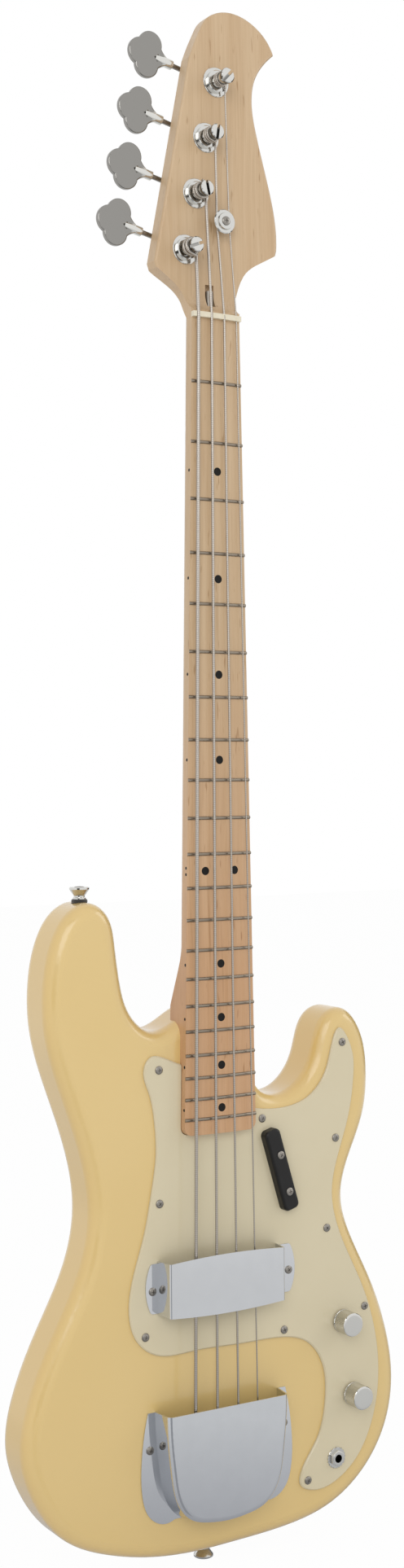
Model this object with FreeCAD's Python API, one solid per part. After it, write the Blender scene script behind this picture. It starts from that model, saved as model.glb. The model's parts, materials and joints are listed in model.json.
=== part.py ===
import FreeCAD, Part
import math
import os

from FreeCAD import Vector

# Electric bass guitar standing upright: X runs to the treble side, Y to the back, Z up along the neck.
# The origin is the seat of the lower strap button, in the middle of the body's thickness.

# Driving dimensions, in millimetres

# Scale and stance
scale_length = 864.0
saddle_to_tail = 77.0
heel_to_tail = 322.0
fret_count = 21
board_radius = 241.0
board_rise = 10.0

# Body: outline as (x, z) points of one closed curve, clockwise from the tail
body_thickness = 44.5
body_edge_round = 11.0
body_outline = [
    (5, 0), (-45, 2), (-92, 13), (-128, 31.5), (-151, 62), (-162, 100), (-156, 135), (-135, 183),
    (-113, 228), (-105, 268), (-111, 311), (-127, 359), (-140, 405), (-141, 440), (-133, 475),
    (-117, 496), (-102, 500), (-89, 491.5), (-82, 468), (-78, 440), (-69, 414.5), (-50, 401),
    (-32, 406.5), (-15, 415.5), (8, 416.5), (26, 408), (35, 390), (37, 365), (46, 348), (63, 344),
    (81, 352.5), (93, 370), (98.5, 388.5), (108, 403.5), (123, 407.5), (138, 394.5), (147, 360),
    (143, 321), (130, 290), (121.5, 258), (129, 229), (149, 188.5), (164.5, 146), (170.5, 105),
    (163.5, 68), (142, 35), (110, 13), (62, 2.5),
]

# Neck
nut_width = 42.2
last_fret_width = 63.1
board_overhang = 6.0
neck_thickness_nut = 20.5
neck_thickness_octave = 22.5
neck_side_depth = 7.0
heel_thickness = 25.4
heel_length = 97.0
heel_flare = 45.0
heel_corner = 6.0
camber_stock = 1.0

# Headstock: heights are above the nut
head_drop = 10.0
head_thickness = 14.5
head_edge_round = 2.3
head_front_round = 2.0
head_round_start = 30.0
head_scoop_radius = 16.0
head_scoop_start = 6.0
head_ramp_radius = 85.0
head_ramp_top = 49.0
head_left_edge = [(-47.5, 41.0), (-15.8, 200.0)]
head_crown = [
    (-15.8, 200), (-11, 212), (-5.9, 223), (-1.8, 230.3), (6, 236.6), (21.5, 240.4), (39.4, 236.2),
    (53.2, 226.2), (60, 216),
]
head_beak = [
    (60.4, 214.3), (51.5, 205.5), (43.2, 192), (40.5, 177), (44.8, 149), (55.4, 111), (62, 78), (62.2, 62.5),
]
head_treble_throat = [(61.2, 58.7), (47, 50.8), (33, 41), (26, 28), (21.6, 12)]
head_bass_throat = [(-21.6, 12), (-25.5, 21), (-33.5, 28), (-46, 36.5)]

# Frets and dots
fret_crown_width = 2.6
fret_crown_height = 1.1
fret_tang_width = 0.6
fret_tang_depth = 1.8
dot_diameter = 6.4
dot_depth = 1.5
octave_dot_spacing = 26.0
side_dot_diameter = 2.4
side_dot_depth = 3.0
side_dot_drop = 3.4
dotted_frets = [3, 5, 7, 9, 15, 17, 19, 21]
octave_fret = 12

# Nut
nut_thickness = 4.0
nut_height = 3.0
nut_seat = 1.0

# Truss rod and the walnut strip over its channel
rod_diameter = 4.8
rod_depth = 10.5
rod_nut_diameter = 6.0
rod_nut_length = 12.0
rod_slot_width = 7.4
rod_slot_start = 11.0
rod_slot_end = 28.0
rod_slot_floor = 14.5
strip_width = 6.4
strip_from_nut = 22.0
strip_from_heel = 133.0
rod_from_heel = 28.0

# Strings, bass to treble
string_names = ["e", "a", "d", "g"]
string_radii = [1.33, 1.05, 0.83, 0.57]
nut_spread = 34.0
saddle_spread = 57.0
nut_action = 1.4
saddle_height = 15.0
nut_bend_radius = 9.0
tree_bend_radius = 12.0
winding_turns = [1.75, 2.25, 2.75, 3.25]
winding_gaps = [1.4, 1.0, 0.8, 0.7]
winding_clearance = 0.25
winding_lift = 0.6
anchor_bend_radius = 9.0
anchor_lead = 2.25
tree_drop = 0.9
groove_clearance = 0.06

# Tuners: the first post stands above the nut, the others follow along the tilted bass edge
first_post = (-21.0, 52.5)
post_spacing = 44.8
tuner_tilt = 12.0
post_radius = 4.3
post_shaft_radius = 4.7
post_top_radius = 5.8
post_height = 18.6
post_neck_height = 4.4
post_head_height = 16.4
post_slot_width = 2.4
post_slot_turns = [80.0, 0.0, 20.0, 55.0]
post_slot_depth = 5.0
post_chamfer = 0.8
post_flare = 1.2
post_foot = 0.6
running_clearance = 0.05
bushing_radius = 6.6
bushing_nut_radius = 8.6
bushing_nut_height = 2.6
bushing_washer_radius = 11.3
bushing_washer_thickness = 1.2
bushing_nut_chamfer = 0.7
bushing_washer_chamfer = 0.5
plate_thickness = 1.5
plate_half_width = 12.5
plate_upper = 17.5
plate_lower = 13.0
lug_thickness = 1.8
lug_width = 7.0
lug_spread = 13.4
tuner_screw_radius = 1.2
tuner_screw_head = 2.6
tuner_screw_length = 9.0
tuner_screw_inset = 3.0
tuner_plate_corner = 2.6

# Worm and wheel
gear_module = 0.7
wheel_teeth = 16
worm_pitch_radius = 2.8
worm_turns = 4
tooth_backlash = 0.22
tooth_slope = 20.0
dedendum_ratio = 1.25
thread_sink = 0.1
worm_land = 1.1
worm_cone = 0.55
worm_tail = 1.0
wheel_thickness = 4.0
worm_plate_gap = 0.5
wheel_bore_radius = 2.6
wheel_screw_radius = 3.6
wheel_screw_height = 1.6
worm_shaft_radius = 1.9
key_reach = 30.0

# Three-lobed keys, measured outward from the post line
key_thickness = 4.2
key_edge_round = 1.2
key_tip_centre = 57.5
key_tip_radius = 10.8
key_side_centre = 51.0
key_side_offset = 8.2
key_side_radius = 10.0
key_throat_start = 34.0
key_throat_half = 3.2
key_shoulder_half = 13.2
key_shoulder_start = 43.0
key_flare_bend = (39.5, 6.2)
key_socket_radius = 3.7
key_socket_taper = 2.0
key_socket_end = 45.0
key_socket_end_radius = 2.7

# String tree
tree_place = (9.4, 76.0)
tree_radius = 9.2
tree_neck_radius = 3.0
tree_neck_height = 6.6
tree_disc_thickness = 2.0
tree_disc_chamfer = 0.6
tree_boss_radius = 6.6
tree_boss_height = 1.4
tree_screw_head = 3.5
tree_screw_radius = 1.4
tree_screw_length = 11.0

# Bridge
bridge_half_width = 41.0
bridge_front = 27.0
bridge_back = 29.0
bridge_thickness = 2.2
bridge_corner = 4.4
bridge_flange_height = 12.0
string_hole_height = 5.2
saddle_radius = 4.0
saddle_length = 18.6
saddle_chamfer = 0.5
height_screw_radius = 1.3
height_screw_offset = 7.1
height_screw_rise = 2.4
intonation_screw_radius = 1.3
intonation_side = 4.2
intonation_drop = 2.5
intonation_tip = 2.0
intonation_head_radius = 2.6
intonation_head_length = 2.0
spring_wire_radius = 0.4
spring_coil_radius = 2.0
spring_turns = 4
spring_end_gap = 0.3
bridge_screw_radius = 1.7
bridge_screw_head = 3.6
bridge_screw_length = 22.0
bridge_screw_inset = 7.2
bridge_screw_spacing = 17.2
ball_radius = 2.9
ball_length = 4.6

# Metal covers
cover_wall = 1.2
bridge_cover_corner = 4.5
cover_slant = 2.6
pickup_cover_half_width = 51.0
pickup_cover_length = 42.5
pickup_cover_bow = 1.2
pickup_cover_height = 16.0
pickup_cover_shoulder = 2.2
pickup_cover_centre = 209.5
pickup_ear_reach = {-1: 13.0, 1: 18.5}
pickup_ear_bow = 4.5
pickup_ear_inset = 2.5
pickup_ear_corner = 3.0
pickup_ear_screw = 5.8
pickup_ear_screw_drop = 1.8
bridge_cover_height = 19.0
bridge_cover_open = 116.0
bridge_cover_tail = 29.0
bridge_cover_half_width = 53.0
bridge_cover_sides = [(1.0, 1.0), (0.985, 0.78), (0.935, 0.5), (0.84, 0.24), (0.62, 0.075), (0.3, 0.015)]
bridge_cover_overrun = 20.0
bridge_wing = [(8.5, 116), (11.5, 102), (14.2, 80), (13.5, 53), (8.5, 39), (-1, 31.5), (-14, 32.5)]
bridge_cover_screw = (60.0, 88.0)

# Pickguard: outline from the bass side of the neck round to the treble side
guard_thickness = 2.5
guard_bevel = 1.0
guard_neck_gap = 0.4
guard_outline = [
    (-30, 375.5), (-45, 381.5), (-57, 383), (-63, 373.5), (-59, 357), (-54, 333), (-53, 309), (-57, 282),
    (-64, 249), (-74, 217), (-77, 193), (-71, 172), (-55, 159), (-21, 157), (23, 156), (60, 155),
    (82, 148), (97, 128), (99.5, 100), (91, 69), (77, 48), (75, 37), (87, 30), (108, 33), (128, 47),
    (142, 69), (151, 108), (148, 147), (135, 187), (114, 231), (107, 265), (113, 292), (124, 325),
    (128.5, 353), (124, 383), (115, 393), (108.5, 382), (101, 358), (85, 341), (62, 334.5), (33, 337),
]
guard_screws = [
    (-50.8, 373), (-51, 272.5), (-64, 174), (60, 161), (81.5, 39),
    (137, 168.5), (101, 235.5), (110, 306), (117, 381.5), (41, 328),
]
guard_screw_head = 3.4
guard_screw_radius = 1.5
guard_screw_length = 13.0
screw_dome = 1.3
screw_tip_radius = 0.4

# Thumb rest
rest_ends = [(47.5, 312.5), (62.5, 262.5)]
rest_half_width = 7.0
rest_height = 8.0
rest_edge_round = 2.5
rest_corner = 4.2
rest_screws = [(53.0, 299.5), (61.0, 270.3)]

# Pickup
pickup_half_width = 39.0
pickup_half_length = 11.0
pickup_flange_half_width = 47.0
pickup_flange_half_length = 13.5
pickup_flange_thickness = 2.0
pickup_depth = 9.0
pickup_rise = 8.5
pickup_route_clearance = 1.0
pole_radius = 2.4
pole_rise = 1.2
pickup_screw_radius = 1.5
pickup_screw_inset = 3.6
pickup_plate_overhang = 1.0
pickup_coil_round = 8.8

# Controls
volume_place = (115.0, 160.0)
tone_place = (124.5, 100.5)
jack_place = (108.5, 52.0)
knob_radius = 9.3
knob_height = 15.0
knob_gap = 1.2
knob_wall = 2.0
knob_round = 1.2
pot_radius = 12.0
pot_height = 11.0
pot_bushing_radius = 4.7
pot_bushing_height = 7.5
pot_shaft_radius = 3.0
pot_shaft_height = 15.5
pot_nut_radius = 6.4
pot_nut_height = 2.2
pot_washer_radius = 7.6
pot_washer_thickness = 0.8
control_cavity_radius = 15.5
control_cavity_depth = 32.0
control_channel_half = 9.3
jack_bore_radius = 3.25
jack_bushing_radius = 4.7
jack_bushing_height = 6.0
jack_nut_radius = 6.6
jack_nut_height = 2.4
jack_washer_radius = 8.6
jack_washer_thickness = 0.9
jack_frame_radius = 8.0
jack_frame_length = 20.0
jack_end_wall = 2.0

# Wiring, held in the routs under the guard: depths are below the body's front
wire_radius = 1.0
wire_depth = 5.0
wire_play = 0.4
lead_shift = 5.0
lead_channel_half = 8.0
lead_channel_width = 16.0
capacitor_radius = 3.5
capacitor_length = 12.0

# Strap buttons
strap_flange_radius = 7.6
strap_waist_radius = 4.2
strap_base_radius = 5.0
strap_height = 9.0
strap_washer_radius = 6.2
strap_washer_thickness = 2.6
strap_sink = 0.8
strap_screw_radius = 1.9
strap_screw_length = 23.0
strap_screw_head = 3.8
strap_screw_sink = 1.9
strap_screw_crown = 0.5
strap_base_height = 0.8
strap_waist = (1.6, 2.4)
strap_flange_thickness = 1.8
strap_flange_edge = 0.6
strap_crown = 0.9
strap_screw_point = 2.0
upper_strap_x = -104.0

# Neck plate and bolts
neck_plate_half_width = 25.5
neck_plate_half_length = 32.0
neck_plate_thickness = 2.0
neck_plate_corner = 4.0
neck_plate_from_heel = 33.0
bolt_offset_x = 19.0
bolt_offset_z = 25.5
bolt_radius = 2.4
bolt_head_radius = 4.8
bolt_bite = 14.0
bolt_crown = 0.9

# Derived planes: depth positions along Y and heights along Z
front = -body_thickness / 2
back = body_thickness / 2
board = front - board_rise
saddle_z = saddle_to_tail
nut_z = saddle_z + scale_length
neck_end = heel_to_tail
neck_plate_centre = neck_end + neck_plate_from_heel
head_front = board + head_drop
head_back = head_front + head_thickness
guard_top = front - guard_thickness
worm_y = head_back + plate_thickness + worm_plate_gap + worm_pitch_radius + gear_module
wheel_pitch_radius = gear_module * wheel_teeth / 2
gear_distance = wheel_pitch_radius + worm_pitch_radius
dedendum = dedendum_ratio * gear_module

# Reach of cutting tools, their overrun past a face, and how near counts as the same place
FAR = 400.0
TOUCH = 0.5
NEAR = 1e-4

# Shape of a round screw head, as shares of its radius and rise
HEAD_CROWN = (0.55, 0.85)
HEAD_RIM = 0.25


# Small construction helpers

def wire_xz(points, closed=False):
    """One smooth edge through (x, z) points in the plane Y = 0."""
    curve = Part.BSplineCurve()
    curve.interpolate([Vector(x, 0, z) for x, z in points], PeriodicFlag=closed)
    return curve.toShape()


def prism(wire, y0, y1):
    """Solid between two depths over a closed wire in the XZ plane."""
    face = Part.Face(wire)
    face.translate(Vector(0, y0, 0))
    return face.extrude(Vector(0, y1 - y0, 0))


def block(x0, x1, y0, y1, z0, z1):
    return Part.makeBox(x1 - x0, y1 - y0, z1 - z0, Vector(x0, y0, z0))


def peg(x, z, radius, y0, y1):
    """Cylinder along Y."""
    return Part.makeCylinder(radius, y1 - y0, Vector(x, y0, z), Vector(0, 1, 0))


def lathe(profile, base, axis):
    """Solid of revolution: (radius, height) points turned about an axis that starts at base."""
    points = [Vector(r, 0, h) for r, h in profile]
    face = Part.Face(Part.makePolygon(points + points[:1]))
    solid = face.revolve(Vector(0, 0, 0), Vector(0, 0, 1), 360)
    turn = FreeCAD.Rotation(Vector(0, 0, 1), Vector(axis))
    solid.Placement = FreeCAD.Placement(Vector(base), turn)
    return solid


def fuse(solids):
    joined = solids[0].fuse(solids[1:]) if len(solids) > 1 else solids[0]
    return joined.removeSplitter()


def cut(solid, tools):
    return solid.cut(Part.makeCompound(tools))


def save(name, solids):
    flat = [solid for shape in solids for solid in shape.Solids]
    shape = flat[0] if len(flat) == 1 else Part.makeCompound(flat)
    shape.exportStep("parts/" + name + ".step")
    volume = sum(solid.Volume for solid in flat)
    print(name, len(flat), "solids", round(volume, 1), "mm3", "ok" if shape.isValid() else "INVALID")


def edges_at_depth(solid, y):
    return [edge for edge in solid.Edges
            if abs(edge.BoundBox.YMin - y) < NEAR and abs(edge.BoundBox.YMax - y) < NEAR]


def round_head(radius, dome):
    """Profile of a domed head that stands up from height 0 towards the negative side."""
    reach, rise = HEAD_CROWN
    return [(0, -dome), (radius * reach, -dome * rise), (radius, -dome * HEAD_RIM), (radius, 0)]


def screw(x, z, seat, head_radius, shank_radius, length):
    """Round-headed wood screw driven along +Y, its head on the plane Y = seat."""
    shaft = [(shank_radius, 0), (shank_radius, length - shank_radius),
             (screw_tip_radius, length), (0, length)]
    return lathe(round_head(head_radius, screw_dome) + shaft, (x, seat, z), (0, 1, 0))


def shank(x, z, seat, radius, length):
    return peg(x, z, radius, seat, seat + length)


# Neck geometry along the string length

def half_width(z):
    fret_z = nut_z - scale_length * (1 - 2 ** (-fret_count / 12))
    share = (nut_z - z) / (nut_z - fret_z)
    return (nut_width + (last_fret_width - nut_width) * share) / 2


def fret_height(number):
    return nut_z - scale_length * (1 - 2 ** (-number / 12))


def frets_on_board():
    return [number for number in range(1, fret_count + 1) if fret_height(number) > neck_end + board_overhang]


def board_sag(x):
    """How far the rounded fingerboard falls away at a distance from its crown."""
    return board_radius - math.sqrt(board_radius ** 2 - x ** 2)


def neck_section(z, thickness):
    """Closed section of the neck shaft: flat front, short sides and a half-oval back."""
    half = half_width(min(z, nut_z))
    ahead = board - camber_stock
    shoulder = board + neck_side_depth
    left = Vector(-half, ahead, z)
    right = Vector(half, ahead, z)
    oval = Part.Ellipse(Vector(half, shoulder, z), Vector(0, board + thickness, z), Vector(0, shoulder, z))
    arc = Part.ArcOfEllipse(oval, 0, math.pi).toShape()
    edges = [Part.LineSegment(left, right).toShape(),
             Part.LineSegment(right, Vector(half, shoulder, z)).toShape(),
             arc,
             Part.LineSegment(Vector(-half, shoulder, z), left).toShape()]
    return Part.Wire(edges)


def heel_section(z):
    half = half_width(z)
    ahead = board - camber_stock
    floor = board + heel_thickness
    corners = [Vector(-half, ahead, z), Vector(half, ahead, z),
               Vector(half, floor, z), Vector(-half, floor, z)]
    return Part.makePolygon(corners + corners[:1])


def heel_prism(gap, y0, y1, top):
    """Tapered neck end with rounded corners, grown by a gap on its sides and end."""
    low = neck_end - gap
    corners = [Vector(-half_width(low) - gap, 0, low), Vector(half_width(low) + gap, 0, low),
               Vector(half_width(top) + gap, 0, top), Vector(-half_width(top) - gap, 0, top)]
    solid = prism(Part.makePolygon(corners + corners[:1]), y0, y1)
    ends = [edge for edge in solid.Edges if edge.BoundBox.ZMax < low + NEAR and edge.BoundBox.YLength > NEAR]
    return solid.makeFillet(heel_corner, ends)


def raised(points):
    return [(x, nut_z + z) for x, z in points]


def line_xz(start, end):
    return Part.LineSegment(Vector(start[0], 0, start[1]), Vector(end[0], 0, end[1])).toShape()


def make_headstock():
    """Flat outline crossed with a side profile that has the scoop by the nut and the ramp at the back."""
    throat_foot = [(-nut_width / 2, nut_z), (nut_width / 2, nut_z)]
    treble = raised(head_treble_throat)
    bass = raised(head_bass_throat)
    edges = [line_xz(throat_foot[0], bass[0]),
             wire_xz(bass),
             line_xz(bass[-1], raised(head_left_edge)[0]),
             line_xz(*raised(head_left_edge)),
             wire_xz(raised(head_crown)),
             line_xz(raised(head_crown)[-1], raised(head_beak)[0]),
             wire_xz(raised(head_beak)),
             line_xz(raised(head_beak)[-1], treble[0]),
             wire_xz(treble),
             line_xz(treble[-1], throat_foot[1]),
             line_xz(throat_foot[1], throat_foot[0])]
    plan = prism(Part.Wire(Part.__sortEdges__(edges)), board - TOUCH, head_back)
    rims = [edge for edge in edges_at_depth(plan, head_back)
            if edge.BoundBox.ZMin > nut_z + head_round_start]
    plan = plan.makeFillet(head_edge_round, rims)

    top = nut_z + FAR
    scoop_low = nut_z + head_scoop_start
    scoop_high = scoop_low + math.sqrt(head_scoop_radius ** 2 - (head_scoop_radius - head_drop) ** 2)
    scoop_turn = math.acos((head_scoop_radius - head_drop) / head_scoop_radius) / 2
    scoop_mid = Vector(0, head_front - head_scoop_radius * (1 - math.cos(scoop_turn)),
                       scoop_high - head_scoop_radius * math.sin(scoop_turn))
    ramp_high = nut_z + head_ramp_top
    ramp_fall = head_ramp_radius - math.sqrt(head_ramp_radius ** 2 - head_ramp_top ** 2)
    ramp_turn = math.asin(head_ramp_top / head_ramp_radius) / 2
    ramp_mid = Vector(0, head_back - head_ramp_radius * (1 - math.cos(ramp_turn)),
                      ramp_high - head_ramp_radius * math.sin(ramp_turn))
    corners = {
        "board": Vector(0, board - TOUCH, nut_z),
        "lip": Vector(0, board - TOUCH, scoop_low),
        "edge": Vector(0, board, scoop_low),
        "face": Vector(0, head_front, scoop_high),
        "face_top": Vector(0, head_front, top),
        "back_top": Vector(0, head_back + TOUCH, top),
        "back": Vector(0, head_back + TOUCH, ramp_high),
        "ramp": Vector(0, head_back, ramp_high),
        "foot": Vector(0, head_back - ramp_fall, nut_z),
    }
    side = [
        Part.LineSegment(corners["board"], corners["lip"]).toShape(),
        Part.LineSegment(corners["lip"], corners["edge"]).toShape(),
        Part.Arc(corners["edge"], scoop_mid, corners["face"]).toShape(),
        Part.LineSegment(corners["face"], corners["face_top"]).toShape(),
        Part.LineSegment(corners["face_top"], corners["back_top"]).toShape(),
        Part.LineSegment(corners["back_top"], corners["back"]).toShape(),
        Part.LineSegment(corners["back"], corners["ramp"]).toShape(),
        Part.Arc(corners["ramp"], ramp_mid, corners["foot"]).toShape(),
        Part.LineSegment(corners["foot"], corners["board"]).toShape(),
    ]
    face = Part.Face(Part.Wire(side))
    face.translate(Vector(-FAR / 2, 0, 0))
    head = plan.common(face.extrude(Vector(FAR, 0, 0)))
    front_rims = [edge for edge in edges_at_depth(head, head_front)
                  if edge.BoundBox.ZMin > nut_z + head_round_start]
    return head.makeFillet(head_front_round, front_rims)


def make_raw_neck():
    """Neck in one piece of wood, before its slots and holes."""
    heel_top = neck_end + heel_length
    shaft_foot = heel_top + heel_flare
    octave = fret_height(octave_fret)
    foot_thickness = neck_thickness_octave + (octave - shaft_foot) / (nut_z - octave) * (
        neck_thickness_octave - neck_thickness_nut)
    shaft = Part.makeLoft([neck_section(shaft_foot, foot_thickness),
                           neck_section(nut_z, neck_thickness_nut)], True)
    hump = Part.makeLoft([neck_section(nut_z, neck_thickness_nut),
                          neck_section(nut_z + head_ramp_top, neck_thickness_nut)], True, True)
    scoop_room = block(-FAR, FAR, board - FAR, head_front + head_thickness / 2, nut_z + TOUCH, nut_z + FAR)
    flare = Part.makeLoft([heel_section(heel_top), neck_section(shaft_foot, foot_thickness)], True, True)
    heel = heel_prism(0, board - camber_stock, board + heel_thickness, heel_top)
    wood = fuse([make_headstock(), hump.cut(scoop_room), shaft, flare, heel])
    camber = Part.makeCylinder(board_radius, FAR * 3, Vector(0, board + board_radius, 0))
    return wood.common(camber)


def make_fret(number):
    """Fret wire bent over the fingerboard's camber, with its tang in the slot."""
    z = fret_height(number)
    half = half_width(z)
    sweep = 2 * math.degrees(math.asin(half / board_radius))
    crown = board - fret_crown_height
    rim = Part.Arc(Vector(0, board, z - fret_crown_width / 2), Vector(0, crown, z),
                   Vector(0, board, z + fret_crown_width / 2)).toShape()
    corners = [Vector(0, board, z + fret_crown_width / 2), Vector(0, board, z + fret_tang_width / 2),
               Vector(0, board + fret_tang_depth, z + fret_tang_width / 2),
               Vector(0, board + fret_tang_depth, z - fret_tang_width / 2),
               Vector(0, board, z - fret_tang_width / 2), Vector(0, board, z - fret_crown_width / 2)]
    rest = [Part.LineSegment(a, b).toShape() for a, b in zip(corners, corners[1:])]
    face = Part.Face(Part.Wire([rim] + rest))
    axis = Vector(0, board + board_radius, 0)
    face.rotate(axis, Vector(0, 0, 1), -sweep / 2)
    return face.revolve(axis, Vector(0, 0, 1), sweep)


def make_face_dots():
    dotted = [number for number in dotted_frets if number in frets_on_board()]
    places = [(0, (fret_height(n) + fret_height(n - 1)) / 2) for n in dotted]
    middle = (fret_height(octave_fret) + fret_height(octave_fret - 1)) / 2
    places += [(-octave_dot_spacing / 2, middle), (octave_dot_spacing / 2, middle)]
    return [peg(x, z, dot_diameter / 2, board - TOUCH, board + board_sag(x) + dot_depth) for x, z in places]


def make_side_dots():
    dots = []
    for number in set(dotted_frets + [octave_fret]) & set(frets_on_board()):
        z = (fret_height(number) + fret_height(number - 1)) / 2
        offsets = (-side_dot_diameter, side_dot_diameter) if number == octave_fret else (0,)
        for offset in offsets:
            start = Vector(-half_width(z) - TOUCH, board + side_dot_drop, z + offset)
            reach = side_dot_depth + TOUCH
            dots.append(Part.makeCylinder(side_dot_diameter / 2, reach, start, Vector(1, 0, 0)))
    return dots


# Strings: straight runs with tangent arcs, then turns round the post

def string_x(index, spread):
    return spread * (index / 3 - 0.5)


def post_place(index):
    tilt = math.radians(tuner_tilt)
    return (first_post[0] + index * post_spacing * math.sin(tilt),
            nut_z + first_post[1] + index * post_spacing * math.cos(tilt))


def key_frame(index):
    """Point on the worm axis beside the post, the outward direction and the direction along the head."""
    tilt = math.radians(tuner_tilt)
    outward = Vector(-math.cos(tilt), 0, math.sin(tilt))
    along = Vector(math.sin(tilt), 0, math.cos(tilt))
    x, z = post_place(index)
    return Vector(x, worm_y, z) + along * gear_distance, outward, along


def rounded_path(points, radii):
    """Edges through the points, each inner corner replaced by an arc of its radius; also the arc centres."""
    edges, centres = [], []
    start = points[0]
    for before, corner, after, radius in zip(points, points[1:], points[2:], radii):
        into = (corner - before).normalize()
        out = (after - corner).normalize()
        turn = math.acos(max(-1.0, min(1.0, into.dot(out))))
        reach = radius * math.tan(turn / 2)
        first = corner - into * reach
        last = corner + out * reach
        inward = (out - into).normalize()
        centre = corner + inward * (radius / math.cos(turn / 2))
        edges.append(Part.LineSegment(start, first).toShape())
        edges.append(Part.Arc(first, centre - inward * radius, last).toShape())
        centres.append(centre)
        start = last
    edges.append(Part.LineSegment(start, points[-1]).toShape())
    return edges, centres


def arc_middle(start, tangent, end):
    """Middle point of the arc that leaves start along tangent and ends at end."""
    chord = end - start
    side = chord - tangent * chord.dot(tangent)
    side.normalize()
    radius = chord.dot(chord) / (2 * chord.dot(side))
    centre = start + side * radius
    return centre + ((start - centre) + (end - centre)).normalize() * radius


def biarc(p0, t0, p1, t1):
    """Two arcs from p0 to p1 that keep both end tangents."""
    chord = p1 - p0
    tangents = t0 + t1
    spread = 2 * (1 - t0.dot(t1))
    along = chord.dot(tangents)
    reach = (math.sqrt(along * along + spread * chord.dot(chord)) - along) / spread
    joint = (p0 + t0 * reach + p1 - t1 * reach) * 0.5
    return [Part.Arc(p0, arc_middle(p0, t0, joint), joint).toShape(),
            Part.Arc(joint, arc_middle(p1, t1 * -1, joint), p1).toShape()]


def tube(edges, radius):
    """Round wire swept along joined edges."""
    path = Part.Wire(edges)
    start = path.Edges[0]
    tangent = start.tangentAt(start.FirstParameter)
    if start.Orientation == "Reversed":
        tangent = tangent * -1
    ring = Part.Wire([Part.Circle(path.OrderedVertexes[0].Point, tangent, radius).toShape()])
    return path.makePipeShell([ring], True, False)


def least_gap(edges, radius):
    """Smallest clear distance between turns of one wire, sampled along its path."""
    points = []
    for edge in edges:
        points += edge.discretize(Distance=radius * 0.6)[:-1]
    run = [0.0]
    for a, b in zip(points, points[1:]):
        run.append(run[-1] + (b - a).Length)
    apart = radius * 2 * math.pi
    return min((points[j] - points[i]).Length - 2 * radius
               for i in range(len(points)) for j in range(i + 1, len(points)) if run[j] - run[i] > apart)


def saddle_top(index):
    x = string_x(index, saddle_spread)
    return front - saddle_height + board_sag(x)


def string_route(index):
    """Edges of one string and the centre of its bend over the saddle."""
    radius = string_radii[index]
    x_saddle = string_x(index, saddle_spread)
    x_nut = string_x(index, nut_spread)
    anchor = Vector(x_saddle, front - string_hole_height, saddle_z - bridge_back)
    way_out = anchor + Vector(0, 0, bridge_thickness + anchor_lead)
    saddle = Vector(x_saddle, saddle_top(index) - radius, saddle_z)
    nut = Vector(x_nut, board + board_sag(x_nut) - nut_action - radius, nut_z + nut_thickness / 2)

    post_x, post_z = post_place(index)
    coil = post_radius + winding_clearance + radius
    low = head_front - bushing_washer_thickness - bushing_nut_height - winding_lift - radius
    away = Vector(post_x - nut.x, 0, post_z - nut.z)
    heading = math.atan2(away.z, away.x) - math.asin(coil / away.Length)
    reach = math.sqrt(away.Length ** 2 - coil ** 2)
    touch = Vector(nut.x + reach * math.cos(heading), low, nut.z + reach * math.sin(heading))

    points = [anchor, way_out, saddle, nut]
    radii = [anchor_bend_radius, saddle_radius + radius + groove_clearance, nut_bend_radius]
    if index >= 2:
        share = (nut_z + tree_place[1] - nut.z) / (touch.z - nut.z)
        under = head_front - tree_neck_height + radius + tree_drop
        points.append(Vector(nut.x + (touch.x - nut.x) * share, under, nut_z + tree_place[1]))
        radii.append(tree_bend_radius)
    points.append(touch)
    edges, centres = rounded_path(points, radii)

    pitch = 2 * radius + winding_gaps[index]
    start_angle = heading - math.pi / 2
    quarters = round(winding_turns[index] * 4)
    place, tangent = touch, (touch - points[-2]).normalize()
    turns = []
    for step in range(1, quarters + 1):
        angle = start_angle + step * math.pi / 2
        climb = pitch * step / 4
        target = Vector(post_x + coil * math.cos(angle), low - climb, post_z + coil * math.sin(angle))
        slope = Vector(-coil * math.sin(angle), -pitch / (2 * math.pi), coil * math.cos(angle)).normalize()
        turns += biarc(place, tangent, target, slope)
        place, tangent = target, slope
    tail = Part.LineSegment(place, place + tangent * (2 * radius)).toShape()
    gap = least_gap(edges[-1:] + turns + [tail], radius)
    print("string", string_names[index], "turns", winding_turns[index], "least gap", round(gap, 2))
    return edges + turns + [tail], centres[1]


# Tuners

def make_post(index):
    """Slotted string post with its waist for the turns and a thin end for the wheel."""
    x, z = post_place(index)
    wheel_low = worm_y - wheel_thickness / 2
    wheel_high = worm_y + wheel_thickness / 2
    top = head_front - post_height
    waist_top = head_front - post_head_height
    waist_foot = head_front - post_neck_height
    profile = [(0, top), (post_top_radius - post_chamfer, top), (post_top_radius, top + post_chamfer),
               (post_top_radius, waist_top), (post_radius, waist_top + post_flare),
               (post_radius, waist_foot - post_foot), (post_shaft_radius, waist_foot),
               (post_shaft_radius, wheel_low), (wheel_bore_radius, wheel_low),
               (wheel_bore_radius, wheel_high), (0, wheel_high)]
    post = lathe(profile, (x, 0, z), (0, 1, 0))
    slot = block(x - post_slot_width / 2, x + post_slot_width / 2, top - TOUCH, top + post_slot_depth,
                 z - post_top_radius - TOUCH, z + post_top_radius + TOUCH)
    slot.rotate(Vector(x, 0, z), Vector(0, 1, 0), post_slot_turns[index] - tuner_tilt)
    return post.cut(slot)


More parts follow.
